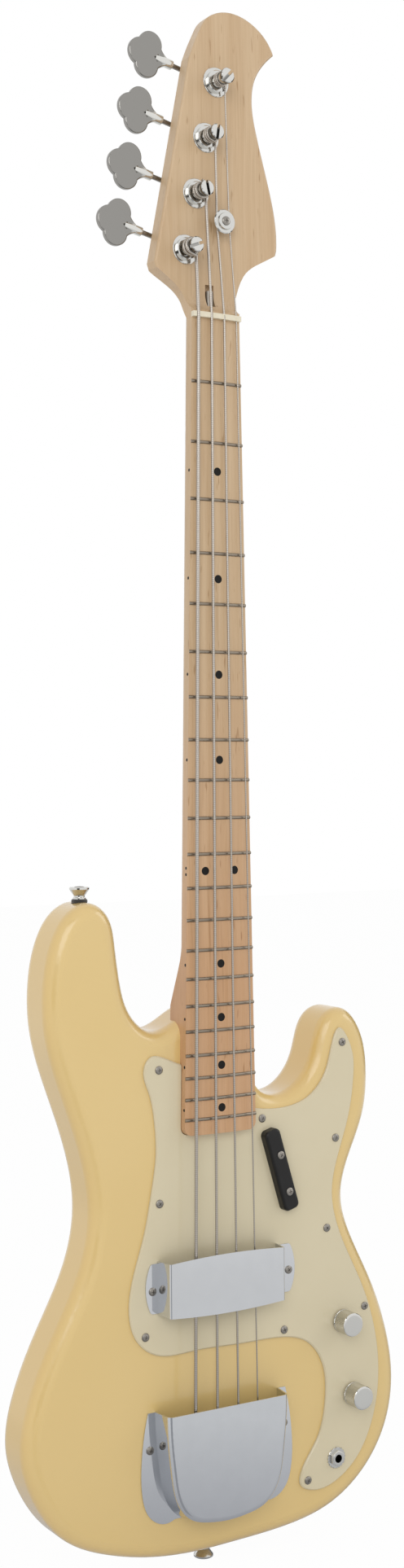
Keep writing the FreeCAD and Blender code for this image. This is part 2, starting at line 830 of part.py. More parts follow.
def make_wheel(index):
    """Worm wheel: slanted straight teeth, made by a ruled loft between two turned tooth rings."""
    x, z = post_place(index)
    lead_angle = math.atan(gear_module / (2 * worm_pitch_radius))
    twist = wheel_thickness / 2 * math.tan(lead_angle) / wheel_pitch_radius
    half_tooth = (math.pi * gear_module / 2 - tooth_backlash) / 2
    slope = math.tan(math.radians(tooth_slope))
    tip = wheel_pitch_radius + gear_module
    root = wheel_pitch_radius - dedendum
    tip_half = (half_tooth - gear_module * slope) / tip
    root_half = (half_tooth + dedendum * slope) / root
    worm_bearing = math.pi / 2 - math.radians(tuner_tilt)
    rings = []
    for y, turn in ((worm_y - wheel_thickness / 2, twist), (worm_y + wheel_thickness / 2, -twist)):
        points = []
        for tooth in range(wheel_teeth):
            middle = worm_bearing + (tooth + 0.5) * 2 * math.pi / wheel_teeth + turn
            for radius, offset in ((root, -root_half), (tip, -tip_half), (tip, tip_half), (root, root_half)):
                angle = middle + offset
                points.append(Vector(x + radius * math.cos(angle), y, z + radius * math.sin(angle)))
        rings.append(Part.makePolygon(points + points[:1]))
    ring = Part.makeLoft(rings, True, True)
    return ring.cut(peg(x, z, wheel_bore_radius, worm_y - wheel_thickness, worm_y + wheel_thickness))


def make_wheel_screw(index):
    x, z = post_place(index)
    seat = worm_y + wheel_thickness / 2
    return lathe(round_head(wheel_screw_radius, wheel_screw_height) + [(0, 0)], (x, seat, z), (0, -1, 0))


def make_worm(index):
    """Shaft along the key's axis with a trapezoid thread on it."""
    centre, outward, along = key_frame(index)
    lead = math.pi * gear_module
    length = worm_turns * lead
    root = worm_pitch_radius - dedendum
    tip = worm_pitch_radius + gear_module
    sunk = root - thread_sink
    half_tooth = (lead / 2 - tooth_backlash) / 2
    slope = math.tan(math.radians(tooth_slope))
    root_half = half_tooth + (worm_pitch_radius - sunk) * slope
    tip_half = half_tooth - gear_module * slope
    helix = Part.makeHelix(lead, length, worm_pitch_radius)
    profile = [Vector(sunk, 0, -root_half), Vector(tip, 0, -tip_half),
               Vector(tip, 0, tip_half), Vector(sunk, 0, root_half)]
    thread = Part.Wire(helix.Edges).makePipeShell([Part.makePolygon(profile + profile[:1])], True, True)
    inner = -lug_spread / 2 - lug_thickness - worm_tail
    land = length / 2 + worm_land
    core = [(0, inner), (worm_shaft_radius, inner), (worm_shaft_radius, -land - worm_cone), (root, -land),
            (root, land), (worm_shaft_radius, land + worm_cone), (worm_shaft_radius, key_reach),
            (0, key_reach)]
    thread.translate(Vector(0, 0, -length / 2))
    worm = lathe(core, (0, 0, 0), (0, 0, 1)).fuse(thread)
    turn = FreeCAD.Rotation(along * -1, Vector(0, -1, 0), outward, "ZXY")
    worm.Placement = FreeCAD.Placement(centre, turn)
    return worm


def make_key(index):
    """Flat three-lobed key with flared shoulders, cast on a round socket for the shaft."""
    centre, outward, along = key_frame(index)
    half = key_thickness / 2
    discs = [Part.makeCylinder(key_tip_radius, key_thickness, Vector(key_tip_centre, 0, -half))]
    for side in (-1, 1):
        place = Vector(key_side_centre, side * key_side_offset, -half)
        discs.append(Part.makeCylinder(key_side_radius, key_thickness, place))
    throat = [Vector(key_throat_start, -key_throat_half, -half),
              Vector(key_throat_start, key_throat_half, -half)]
    shoulder = [Vector(key_shoulder_start, -key_shoulder_half, -half),
                Vector(key_shoulder_start, key_shoulder_half, -half)]
    bend_x, bend_y = key_flare_bend
    edges = [Part.LineSegment(throat[0], throat[1]).toShape(),
             Part.Arc(throat[1], Vector(bend_x, bend_y, -half), shoulder[1]).toShape(),
             Part.LineSegment(shoulder[1], shoulder[0]).toShape(),
             Part.Arc(shoulder[0], Vector(bend_x, -bend_y, -half), throat[0]).toShape()]
    web = Part.Face(Part.Wire(edges)).extrude(Vector(0, 0, key_thickness))
    leaf = fuse(discs + [web])
    rims = [edge for edge in leaf.Edges if edge.BoundBox.ZLength < NEAR]
    leaf = leaf.makeFillet(key_edge_round, rims)
    cone = key_throat_start + key_socket_taper
    socket = lathe([(0, key_reach), (key_socket_radius, key_reach), (key_socket_radius, cone),
                    (key_socket_end_radius, key_socket_end), (0, key_socket_end)], (0, 0, 0), (1, 0, 0))
    key = leaf.fuse(socket).removeSplitter()
    key = key.cut(Part.makeCylinder(worm_shaft_radius, key_reach, Vector(0, 0, 0), Vector(1, 0, 0)))
    turn = FreeCAD.Rotation(outward, along, Vector(0, 1, 0), "XYZ")
    key.Placement = FreeCAD.Placement(centre, turn)
    return key


def make_bushing(index):
    """Front bushing: sleeve through the head, round washer and stepped nut."""
    x, z = post_place(index)
    nut_foot = head_front - bushing_washer_thickness
    nut_top = nut_foot - bushing_nut_height
    bore = post_shaft_radius + running_clearance
    profile = [(bore, nut_top), (bushing_nut_radius - bushing_nut_chamfer, nut_top),
               (bushing_nut_radius, nut_top + bushing_nut_chamfer), (bushing_nut_radius, nut_foot),
               (bushing_washer_radius - bushing_washer_chamfer, nut_foot),
               (bushing_washer_radius, nut_foot + bushing_washer_chamfer),
               (bushing_washer_radius, head_front), (bushing_radius, head_front),
               (bushing_radius, head_back), (bore, head_back)]
    return lathe(profile, (x, 0, z), (0, 1, 0))


def to_head(index, across, up):
    """Point of the head's plane beside a post: across goes outward to the key, up goes along the head."""
    outward, along = key_frame(index)[1:]
    x, z = post_place(index)
    place = Vector(x, 0, z) + outward * across + along * up
    return place.x, place.z


def tuner_screw_places(index):
    rows = (plate_upper - tuner_screw_inset, tuner_screw_inset - plate_lower)
    across = plate_half_width - tuner_screw_inset
    return [to_head(index, side * across, row) for side in (-1, 1) for row in rows]


def make_tuner_plate(index):
    """Back plate with two bent lugs that carry the worm shaft."""
    x, z = post_place(index)
    face = head_back + plate_thickness
    plate = block(-plate_half_width, plate_half_width, head_back, face, -plate_lower, plate_upper)
    corners = [edge for edge in plate.Edges if abs(edge.BoundBox.YLength - plate_thickness) < NEAR]
    plate = plate.makeFillet(tuner_plate_corner, corners)
    lug_top = worm_y + lug_width / 2
    lugs = []
    for side in (-1, 1):
        inner = side * lug_spread / 2
        outer = inner + side * lug_thickness
        low, high = min(inner, outer), max(inner, outer)
        lug = block(low, high, face, worm_y, gear_distance - lug_width / 2, gear_distance + lug_width / 2)
        ear_start = Vector(low, worm_y, gear_distance)
        ear = Part.makeCylinder(lug_width / 2, lug_thickness, ear_start, Vector(1, 0, 0))
        lugs.append(lug.fuse(ear))
    plate = fuse([plate] + lugs)
    bore_start = Vector(-FAR / 2, worm_y, gear_distance)
    bore = Part.makeCylinder(worm_shaft_radius + running_clearance, FAR, bore_start, Vector(1, 0, 0))
    post_hole = peg(0, 0, post_shaft_radius + running_clearance, head_back - TOUCH, lug_top)
    plate = plate.cut(bore).cut(post_hole)
    plate.rotate(Vector(0, 0, 0), Vector(0, 1, 0), tuner_tilt)
    plate.translate(Vector(x, 0, z))
    return cut(plate, [peg(screw_x, screw_z, tuner_screw_radius, head_back - TOUCH, lug_top)
                       for screw_x, screw_z in tuner_screw_places(index)])


def make_tuner_screws(index):
    """Four small screws driven from the back into the head."""
    profile = round_head(tuner_screw_head, screw_dome) + [
        (tuner_screw_radius, 0), (tuner_screw_radius, tuner_screw_length - tuner_screw_radius),
        (0, tuner_screw_length)]
    seat = head_back + plate_thickness
    return [lathe(profile, (x, seat, z), (0, -1, 0)) for x, z in tuner_screw_places(index)]


# String tree

def make_tree():
    """Round string guide: a neck on the head, and a disc with a raised middle over the two upper strings."""
    x, z = tree_place[0], nut_z + tree_place[1]
    low = head_front - tree_neck_height
    high = low - tree_disc_thickness
    top = high - tree_boss_height
    profile = [(tree_screw_radius, head_front), (tree_neck_radius, head_front), (tree_neck_radius, low),
               (tree_radius - tree_disc_chamfer, low), (tree_radius, low - tree_disc_chamfer),
               (tree_radius, high + tree_disc_chamfer), (tree_radius - tree_disc_chamfer, high),
               (tree_boss_radius, high), (tree_boss_radius - tree_disc_chamfer, top),
               (tree_screw_radius, top)]
    return lathe(profile, (x, 0, z), (0, 1, 0))


# Bridge

def make_bridge_plate():
    """Bent plate: flat base on the body and a flange at the tail for strings and saddle screws."""
    low = saddle_z - bridge_back
    top = front - bridge_thickness
    base = block(-bridge_half_width, bridge_half_width, top, front, low, saddle_z + bridge_front)
    flange = block(-bridge_half_width, bridge_half_width, front - bridge_flange_height, front, low,
                   low + bridge_thickness)
    plate = fuse([base, flange])
    corners = [edge for edge in plate.Edges
               if edge.BoundBox.ZMin > saddle_z and abs(edge.BoundBox.YLength - bridge_thickness) < NEAR]
    plate = plate.makeFillet(bridge_corner, corners)
    reach = 4 * bridge_thickness
    holes = [shank(x, z, top - TOUCH, bridge_screw_radius, reach) for x, z in bridge_screw_places()]
    for index in range(4):
        x = string_x(index, saddle_spread)
        string_hole = Vector(x, front - string_hole_height, low - bridge_thickness)
        screw_hole = Vector(x + intonation_offset(index), intonation_y(), low - bridge_thickness)
        holes.append(Part.makeCylinder(string_radii[index] + groove_clearance, reach, string_hole))
        holes.append(Part.makeCylinder(intonation_screw_radius, reach, screw_hole))
    return cut(plate, holes)


def bridge_screw_places():
    row = saddle_z + bridge_front - bridge_screw_inset
    return [(step * bridge_screw_spacing, row) for step in (-2, -1, 0, 1, 2)]


def intonation_offset(index):
    """Saddle screws pass beside the string, on the side away from the centre line."""
    return math.copysign(intonation_side, string_x(index, saddle_spread))


def intonation_y():
    return front - bridge_flange_height + intonation_drop


def make_saddle(index, bend_centre):
    """Barrel saddle under one string, bored for two height screws and one intonation screw."""
    x = string_x(index, saddle_spread)
    start = Vector(x - saddle_length / 2, bend_centre.y, bend_centre.z)
    barrel = Part.makeCylinder(saddle_radius, saddle_length, start, Vector(1, 0, 0))
    ends = [edge for edge in barrel.Edges if edge.BoundBox.XLength < NEAR]
    barrel = barrel.makeChamfer(saddle_chamfer, ends)
    holes = [peg(x + side * height_screw_offset, bend_centre.z, height_screw_radius, front - FAR / 4, front)
             for side in (-1, 1)]
    holes.append(make_intonation_shank(index, bend_centre))
    return cut(barrel, holes)


def make_intonation_shank(index, bend_centre):
    x = string_x(index, saddle_spread) + intonation_offset(index)
    tail = saddle_z - bridge_back
    length = bend_centre.z + saddle_radius + intonation_tip - tail
    return Part.makeCylinder(intonation_screw_radius, length, Vector(x, intonation_y(), tail))


def make_intonation_screw(index, bend_centre):
    x = string_x(index, saddle_spread) + intonation_offset(index)
    tail = saddle_z - bridge_back
    head = Part.makeCylinder(intonation_head_radius, intonation_head_length,
                             Vector(x, intonation_y(), tail - intonation_head_length))
    return make_intonation_shank(index, bend_centre).fuse(head).removeSplitter()


def make_height_screws(index, bend_centre):
    x = string_x(index, saddle_spread)
    seat = front - bridge_thickness
    top = bend_centre.y - height_screw_rise
    return [peg(x + side * height_screw_offset, bend_centre.z, height_screw_radius, top, seat)
            for side in (-1, 1)]


def make_spring(index, bend_centre):
    """Compression spring on the intonation screw, between the flange and the saddle."""
    x = string_x(index, saddle_spread) + intonation_offset(index)
    y = intonation_y()
    low = saddle_z - bridge_back + bridge_thickness + spring_wire_radius
    high = bend_centre.z - saddle_radius - spring_wire_radius - spring_end_gap
    pitch = (high - low) / spring_turns
    edges = []
    place, tangent = None, None
    for step in range(2 * spring_turns + 1):
        angle = step * math.pi
        target = Vector(x + spring_coil_radius * math.cos(angle), y + spring_coil_radius * math.sin(angle),
                        low + pitch * step / 2)
        slope = Vector(-spring_coil_radius * math.sin(angle), spring_coil_radius * math.cos(angle),
                       pitch / (2 * math.pi)).normalize()
        if place is not None:
            edges += biarc(place, tangent, target, slope)
        place, tangent = target, slope
    if index == 0:
        gap = least_gap(edges, spring_wire_radius)
        print("saddle spring turns", spring_turns, "least gap", round(gap, 2))
    return tube(edges, spring_wire_radius)


def make_ball(index):
    x = string_x(index, saddle_spread)
    low = saddle_z - bridge_back - ball_length
    return Part.makeCylinder(ball_radius, ball_length, Vector(x, front - string_hole_height, low))


# Metal covers

def make_pickup_ear(side):
    """Bowed ear of the pickup cover, flat on the guard."""
    reach = pickup_cover_half_width + pickup_ear_reach[side]
    tip = reach - pickup_ear_bow
    low = pickup_cover_centre - pickup_cover_length / 2 + pickup_ear_inset
    high = pickup_cover_centre + pickup_cover_length / 2 - pickup_ear_inset
    bow = Part.Arc(Vector(side * tip, 0, low), Vector(side * reach, 0, pickup_cover_centre),
                   Vector(side * tip, 0, high)).toShape()
    outline = [line_xz((0, low), (side * tip, low)), bow, line_xz((side * tip, high), (0, high)),
               line_xz((0, high), (0, low))]
    ear = prism(Part.Wire(outline), guard_top - cover_wall, guard_top)
    corners = [edge for edge in ear.Edges if abs(edge.BoundBox.YLength - cover_wall) < NEAR
               and abs(edge.BoundBox.Center.x) > pickup_cover_half_width]
    return ear.makeFillet(pickup_ear_corner, corners)


def make_pickup_cover():
    """Hat section of sheet metal with slanted walls and bowed ears, open towards the neck and the tail."""
    seat = guard_top
    z0 = pickup_cover_centre - pickup_cover_length / 2
    z1 = z0 + pickup_cover_length
    over = pickup_cover_bow + TOUCH
    foot = pickup_cover_half_width + cover_slant

    def shell(inset):
        top = seat - pickup_cover_height + inset
        corners = [Vector(inset - foot, seat, z0 - over), Vector(foot - inset, seat, z0 - over),
                   Vector(pickup_cover_half_width - inset, top, z0 - over),
                   Vector(inset - pickup_cover_half_width, top, z0 - over)]
        face = Part.Face(Part.makePolygon(corners + corners[:1]))
        body = face.extrude(Vector(0, 0, pickup_cover_length + 2 * over))
        shoulders = [edge for edge in body.Edges if edge.BoundBox.ZLength > pickup_cover_length
                     and edge.BoundBox.YMax < seat - NEAR]
        return body.makeFillet(pickup_cover_shoulder - inset, shoulders)

    plan_edges = [Part.Arc(Vector(-foot, 0, z1 - pickup_cover_bow), Vector(0, 0, z1 + pickup_cover_bow),
                           Vector(foot, 0, z1 - pickup_cover_bow)).toShape(),
                  line_xz((foot, z1 - pickup_cover_bow), (foot, z0 + pickup_cover_bow)),
                  Part.Arc(Vector(foot, 0, z0 + pickup_cover_bow), Vector(0, 0, z0 - pickup_cover_bow),
                           Vector(-foot, 0, z0 + pickup_cover_bow)).toShape(),
                  line_xz((-foot, z0 + pickup_cover_bow), (-foot, z1 - pickup_cover_bow))]
    plan = prism(Part.Wire(plan_edges), seat - FAR / 4, seat)
    outer = shell(0).common(plan)
    cover = fuse([outer, make_pickup_ear(-1), make_pickup_ear(1)]).cut(shell(cover_wall))
    holes = [shank(x, z, seat - FAR / 4, guard_screw_radius, FAR / 2)
             for x, z in pickup_cover_screw_places()]
    return cut(cover, holes)


def pickup_cover_screw_places():
    height = pickup_cover_centre - pickup_ear_screw_drop
    reach = pickup_cover_half_width - pickup_ear_screw
    return [(side * (reach + pickup_ear_reach[side]), height) for side in (-1, 1)]


def bridge_cover_outline(inset):
    """Shield-shaped outline of the bridge cover's raised part, drawn in from its edge by an inset."""
    half = bridge_cover_half_width - inset
    tail = bridge_cover_tail + inset
    length = bridge_cover_open - tail
    right = [(half * share_x, tail + length * share_z) for share_x, share_z in bridge_cover_sides]
    left = [(-x, z) for x, z in reversed(right)]
    above = bridge_cover_open + bridge_cover_overrun
    curve = wire_xz([(half, above)] + right + [(0, tail)] + left + [(-half, above)])
    return Part.Wire([curve, line_xz((-half, above), (half, above))])


def make_bridge_cover():
    """Deep sheet-metal shell, closed at the tail, open to the neck, with a curved wing on each side."""
    def shell(inset, rise):
        foot = bridge_cover_outline(inset - cover_slant)
        top = bridge_cover_outline(inset)
        foot.translate(Vector(0, front, 0))
        top.translate(Vector(0, front - rise, 0))
        body = Part.makeLoft([foot, top], True, True)
        rims = [edge for edge in edges_at_depth(body, front - rise)
                if edge.BoundBox.ZMin < bridge_cover_open]
        return body.makeFillet(bridge_cover_corner - inset, rims)

    outer = shell(0, bridge_cover_height)
    inner = shell(cover_wall, bridge_cover_height - cover_wall)
    wings = []
    for side in (-1, 1):
        edge = [(side * (bridge_cover_half_width + x), z) for x, z in bridge_wing]
        middle = [(0, edge[-1][1]), (0, edge[0][1])]
        outline = [wire_xz(edge), line_xz(edge[-1], middle[0]), line_xz(*middle),
                   line_xz(middle[1], edge[0])]
        wings.append(prism(Part.Wire(outline), front - cover_wall, front))
    room = block(-FAR, FAR, front - FAR / 4, front + FAR / 4, bridge_cover_open, bridge_cover_open + FAR)
    below = block(-FAR, FAR, front, front + FAR / 4, -FAR, FAR)
    cover = fuse([outer] + wings).cut(inner).cut(room).cut(below)
    holes = [shank(x, z, front - FAR / 4, guard_screw_radius, FAR / 2)
             for x, z in bridge_cover_screw_places()]
    return cut(cover, holes)


def bridge_cover_screw_places():
    x, z = bridge_cover_screw
    return [(-x, z), (x, z)]


# Pickguard, thumb rest and pickup

def guard_wire():
    return Part.Wire([wire_xz(guard_outline), line_xz(guard_outline[-1], guard_outline[0])])


def make_guard():
    """Flat plate with a bevelled rim, notched round the neck and holed for what passes through it."""
    plate = prism(guard_wire(), guard_top, front)
    rim = max(edges_at_depth(plate, guard_top), key=lambda edge: edge.Length)
    plate = plate.makeChamfer(guard_bevel, [rim])
    notch = heel_prism(guard_neck_gap, front - FAR / 4, front + FAR / 4, neck_end + heel_length)
    holes = [notch, pickup_route(front - FAR / 4, front + FAR / 4)]
    holes += [peg(*place, pot_bushing_radius, guard_top - TOUCH, front + TOUCH)
              for place in (volume_place, tone_place)]
    holes.append(peg(*jack_place, jack_bushing_radius, guard_top - TOUCH, front + TOUCH))
    through = guard_screws + rest_screws + pickup_cover_screw_places()
    holes += [peg(x, z, guard_screw_radius, guard_top - TOUCH, front + TOUCH) for x, z in through]
    return cut(plate, holes)


def make_thumb_rest():
    """Rounded bar beside the strings."""
    low = Vector(rest_ends[1][0], 0, rest_ends[1][1])
    high = Vector(rest_ends[0][0], 0, rest_ends[0][1])
    length = (high - low).Length
    lean = math.degrees(math.atan2(high.x - low.x, high.z - low.z))
    bar = block(-rest_half_width, rest_half_width, guard_top - rest_height, guard_top, -rest_half_width,
                length + rest_half_width)
    corners = [edge for edge in bar.Edges if abs(edge.BoundBox.YLength - rest_height) < NEAR]
    bar = bar.makeFillet(rest_corner, corners)
    bar = bar.makeFillet(rest_edge_round, edges_at_depth(bar, guard_top - rest_height))
    bar.rotate(Vector(0, 0, 0), Vector(0, 1, 0), lean)
    bar.translate(low)
    holes = [peg(x, z, guard_screw_radius, guard_top - FAR / 4, guard_top + TOUCH) for x, z in rest_screws]
    return cut(bar, holes)


def pickup_route(y0, y1):
    half_x = pickup_flange_half_width + pickup_route_clearance
    half_z = pickup_flange_half_length + pickup_route_clearance
    return block(-half_x, half_x, y0, y1, pickup_cover_centre - half_z, pickup_cover_centre + half_z)


def pickup_screw_places():
    x = pickup_flange_half_width - pickup_screw_inset
    return [(-x, pickup_cover_centre), (x, pickup_cover_centre)]


def make_pickup():
    """Coil between two fibre plates, on the floor of its route."""
    z = pickup_cover_centre
    floor = front + pickup_depth
    top = front - pickup_rise
    flange_top = floor - pickup_flange_thickness
    plate_foot = top + pickup_flange_thickness
    plate_half = pickup_half_length + pickup_plate_overhang
    lower = block(-pickup_flange_half_width, pickup_flange_half_width, flange_top, floor,
                  z - pickup_flange_half_length, z + pickup_flange_half_length)
    upper = block(-pickup_half_width, pickup_half_width, top, plate_foot, z - plate_half, z + plate_half)
    coil = block(-pickup_half_width, pickup_half_width, plate_foot, flange_top,
                 z - pickup_half_length, z + pickup_half_length)
    ends = [edge for edge in coil.Edges if edge.BoundBox.YLength > pickup_depth]
    coil = coil.makeFillet(pickup_coil_round, ends)
    holes = [peg(*place, pole_radius, front - FAR / 4, floor + TOUCH) for place in pole_places()]
    holes += [peg(*place, pickup_screw_radius, front - FAR / 4, floor + TOUCH)
              for place in pickup_screw_places()]
    return cut(fuse([lower, coil, upper]), holes)


def pole_places():
    share = (pickup_cover_centre - saddle_z) / (nut_z - saddle_z)
    spread = saddle_spread + (nut_spread - saddle_spread) * share
    return [(string_x(index, spread), pickup_cover_centre) for index in range(4)]


def make_pole(place):
    return peg(*place, pole_radius, front - pickup_rise - pole_rise, front + pickup_depth)


# Controls

def make_pot(place):
    """Potentiometer: round can under the guard and a bushing up through it."""
    x, z = place
    can = peg(x, z, pot_radius, front, front + pot_height)
    bushing = peg(x, z, pot_bushing_radius, front - pot_bushing_height, front)
    well = peg(x, z, pot_shaft_radius + running_clearance, front - FAR / 4, front + pot_height / 2)
    return fuse([can, bushing]).cut(well)


def make_pot_nut(place):
    x, z = place
    washer = peg(x, z, pot_washer_radius, guard_top - pot_washer_thickness, guard_top)
    seat = guard_top - pot_washer_thickness
    nut = make_hexagon(x, z, pot_nut_radius, seat - pot_nut_height, seat)
    hole = peg(x, z, pot_bushing_radius, front - FAR / 4, front)
    return [washer.cut(hole), nut.cut(hole)]


def make_hexagon(x, z, radius, y0, y1):
    turns = [math.radians(60 * k) for k in range(6)]
    corners = [Vector(x + radius * math.cos(turn), 0, z + radius * math.sin(turn)) for turn in turns]
    return prism(Part.makePolygon(corners + corners[:1]), y0, y1)


def make_shaft(place):
    x, z = place
    return peg(x, z, pot_shaft_radius, front - pot_shaft_height, front + pot_height / 2)


def make_knob(place):
    """Flat-topped knob, hollow below to clear the nut, bored for the shaft."""
    x, z = place
    base = guard_top - knob_gap
    top = base - knob_height
    profile = [(0, top), (knob_radius - knob_round, top), (knob_radius, top + knob_round),
               (knob_radius, base), (0, base)]
    knob = lathe(profile, (x, 0, z), (0, 1, 0))
    nut_room = base - pot_nut_height - pot_washer_thickness - knob_gap
    bushing_top = front - pot_bushing_height - knob_gap
    room = peg(x, z, knob_radius - knob_wall, nut_room, base + TOUCH)
    bushing_room = peg(x, z, pot_bushing_radius + knob_gap / 2, bushing_top, base + TOUCH)
    return knob.cut(room).cut(bushing_room).cut(make_shaft(place))


def make_jack():
    """Socket: threaded bushing through the guard and the contact frame behind it."""
    x, z = jack_place
    frame = peg(x, z, jack_frame_radius, front, front + jack_frame_length)
    bushing = peg(x, z, jack_bushing_radius, front - jack_bushing_height, front)
    bore = peg(x, z, jack_bore_radius, front - FAR / 4, front + jack_frame_length - jack_end_wall)
    return fuse([frame, bushing]).cut(bore)


def make_jack_nut():
    x, z = jack_place
    seat = guard_top - jack_washer_thickness
    washer = peg(x, z, jack_washer_radius, seat, guard_top)
    nut = make_hexagon(x, z, jack_nut_radius, seat - jack_nut_height, seat)
    hole = peg(x, z, jack_bushing_radius, front - FAR / 4, front)
    return [washer.cut(hole), nut.cut(hole)]


def control_cavity():
    """Rout under the guard: round wells for the controls, joined by a channel to the pickup's route."""
    floor = front + control_cavity_depth
    places = [volume_place, tone_place, jack_place]
    wells = [peg(x, z, control_cavity_radius, front - TOUCH, floor) for x, z in places]
    for (x0, z0), (x1, z1) in zip(places, places[1:]):
        run = Vector(x1 - x0, 0, z1 - z0)
        channel = block(-control_channel_half, control_channel_half, front - TOUCH, floor, 0, run.Length)
        channel.rotate(Vector(0, 0, 0), Vector(0, 1, 0), math.degrees(math.atan2(run.x, run.z)))
        channel.translate(Vector(x0, 0, z0))
        wells.append(channel)
    edge = volume_place[0] + lead_channel_half / 2
    high = pickup_cover_centre + lead_channel_half
    bottom = front + pickup_depth
    run = block(0, edge, front - TOUCH, bottom, pickup_cover_centre - lead_channel_half, high)
    down = block(edge - lead_channel_width, edge, front - TOUCH, bottom, volume_place[1], high)
    return wells + [run, down, pickup_route(front - TOUCH, bottom)]


# Wiring

def make_wire(points):
    """Lead through (x, z) points at one depth, each bend as wide as its shorter run allows."""
    route = [Vector(x, front + wire_depth, z) for x, z in points]
    radii = []
    for before, corner, after in zip(route, route[1:], route[2:]):
        into = corner - before
        out = after - corner
        turn = into.getAngle(out)
        radii.append(0.45 * min(into.Length, out.Length) / math.tan(turn / 2))
    print("lead bends", [round(radius, 1) for radius in radii])
    return tube(rounded_path(route, radii)[0], wire_radius)


def make_wiring():
    """Leads from the pickup to the volume control, on to the tone control and to the socket."""
    reach = pot_radius + wire_play
    vx, vz = volume_place
    tx, tz = tone_place
    jx, jz = jack_place
    run = pickup_cover_centre + lead_shift
    start = pickup_half_width + wire_play
    hot = [(start, run), (start + 24, run + 1), (vx - 16, run), (vx - 3, run - 9),
           (vx - 1, vz + reach + 10), (vx, vz + reach)]
    link = [(vx + 1, vz - reach), (vx + 1, vz - reach - 7), (vx + 6, tz + reach + 15),
            (tx, tz + reach + 7), (tx, tz + reach)]
    jack_reach = jack_frame_radius + wire_play
    out = [(tx - 1, tz - reach), (tx - 2, tz - reach - 7), (jx + 5, jz + jack_reach + 9),
           (jx + 1, jz + jack_reach)]
    return [make_wire(points) for points in (hot, link, out)]


def make_capacitor():
    """Small tubular capacitor against the back of the tone control."""
    x, z = tone_place
    start = Vector(x - capacitor_length / 2, front + pot_height + capacitor_radius, z)
    return Part.makeCylinder(capacitor_radius, capacitor_length, start, Vector(1, 0, 0))


# Strap buttons and neck joint

def strap_seat(upper):
    """Seat point and outward direction of a strap button."""
    if upper:
        top = max(z for x, z in body_outline)
        return Vector(upper_strap_x, 0, top), Vector(0, 0, 1)
    return Vector(0, 0, 0), Vector(0, 0, -1)


def make_strap_washer(upper):
    seat, out = strap_seat(upper)
    profile = [(strap_screw_radius, -strap_sink), (strap_washer_radius, -strap_sink),
               (strap_washer_radius, strap_washer_thickness), (strap_screw_radius, strap_washer_thickness)]
    return lathe(profile, seat, out)


def make_strap_button(upper):
    seat, out = strap_seat(upper)
    low = strap_washer_thickness
    high = low + strap_height
    waist_low, waist_high = strap_waist
    profile = [(strap_screw_radius, low), (strap_base_radius, low),
               (strap_base_radius, low + strap_base_height), (strap_waist_radius, low + waist_low),
               (strap_waist_radius, low + waist_high), (strap_flange_radius, high - strap_flange_thickness),
               (strap_flange_radius, high - strap_flange_edge), (strap_flange_radius - strap_crown, high),
               (strap_screw_head, high), (strap_screw_radius, high - strap_screw_sink)]
    return lathe(profile, seat, out)


def make_strap_screw(upper):
    seat, out = strap_seat(upper)
    high = strap_washer_thickness + strap_height
    tip = high - strap_screw_length
    reach, rise = HEAD_CROWN
    profile = [(0, high + strap_screw_crown), (strap_screw_head * reach, high + strap_screw_crown * rise),
               (strap_screw_head, high), (strap_screw_radius, high - strap_screw_sink),
               (strap_screw_radius, tip + strap_screw_point), (0, tip)]
    return lathe(profile, seat, out)


def bolt_places():
    return [(side * bolt_offset_x, neck_plate_centre + end * bolt_offset_z)
            for side in (-1, 1) for end in (-1, 1)]


def make_neck_plate():
    plate = block(-neck_plate_half_width, neck_plate_half_width, back, back + neck_plate_thickness,
                  neck_plate_centre - neck_plate_half_length, neck_plate_centre + neck_plate_half_length)
    corners = [edge for edge in plate.Edges if abs(edge.BoundBox.YLength - neck_plate_thickness) < NEAR]
    plate = plate.makeFillet(neck_plate_corner, corners)
    return cut(plate, [make_bolt(x, z) for x, z in bolt_places()])


def make_bolt(x, z):
    """Countersunk neck screw driven from the back plate through the body into the heel."""
    face = back + neck_plate_thickness
    tip = board + heel_thickness - bolt_bite
    reach, rise = HEAD_CROWN
    profile = [(0, face + bolt_crown), (bolt_head_radius * reach, face + bolt_crown * rise),
               (bolt_head_radius, face), (bolt_radius, back), (bolt_radius, tip + bolt_radius), (0, tip)]
    return lathe(profile, (x, 0, z), (0, 1, 0))


# Assembly

os.makedirs("parts", exist_ok=True)

frets = [make_fret(number) for number in frets_on_board()]
raw_neck = make_raw_neck()
routes = [string_route(index) for index in range(4)]
strings = [tube(edges, radius) for (edges, _), radius in zip(routes, string_radii)]
bends = [centre for _, centre in routes]
bolts = [make_bolt(x, z) for x, z in bolt_places()]

# Truss rod, its channel from the back, and the strip that closes it
rod_y = board + rod_depth
rod_top = nut_z + rod_slot_start
rod_foot = neck_end + rod_from_heel
rod = Part.makeCylinder(rod_diameter / 2, rod_top - rod_foot, Vector(0, rod_y, rod_foot))
rod_nut = Part.makeCylinder(rod_nut_diameter / 2, rod_nut_length, Vector(0, rod_y, rod_top))
strip_top = nut_z - strip_from_nut
strip_foot = neck_end + strip_from_heel
channel = block(-strip_width / 2, strip_width / 2, rod_y, rod_y + FAR / 4, strip_foot, strip_top)
strip = raw_neck.common(channel).cut(rod)
slot = block(-rod_slot_width / 2, rod_slot_width / 2, board - FAR / 4, board + rod_slot_floor, rod_top,
             nut_z + rod_slot_end)

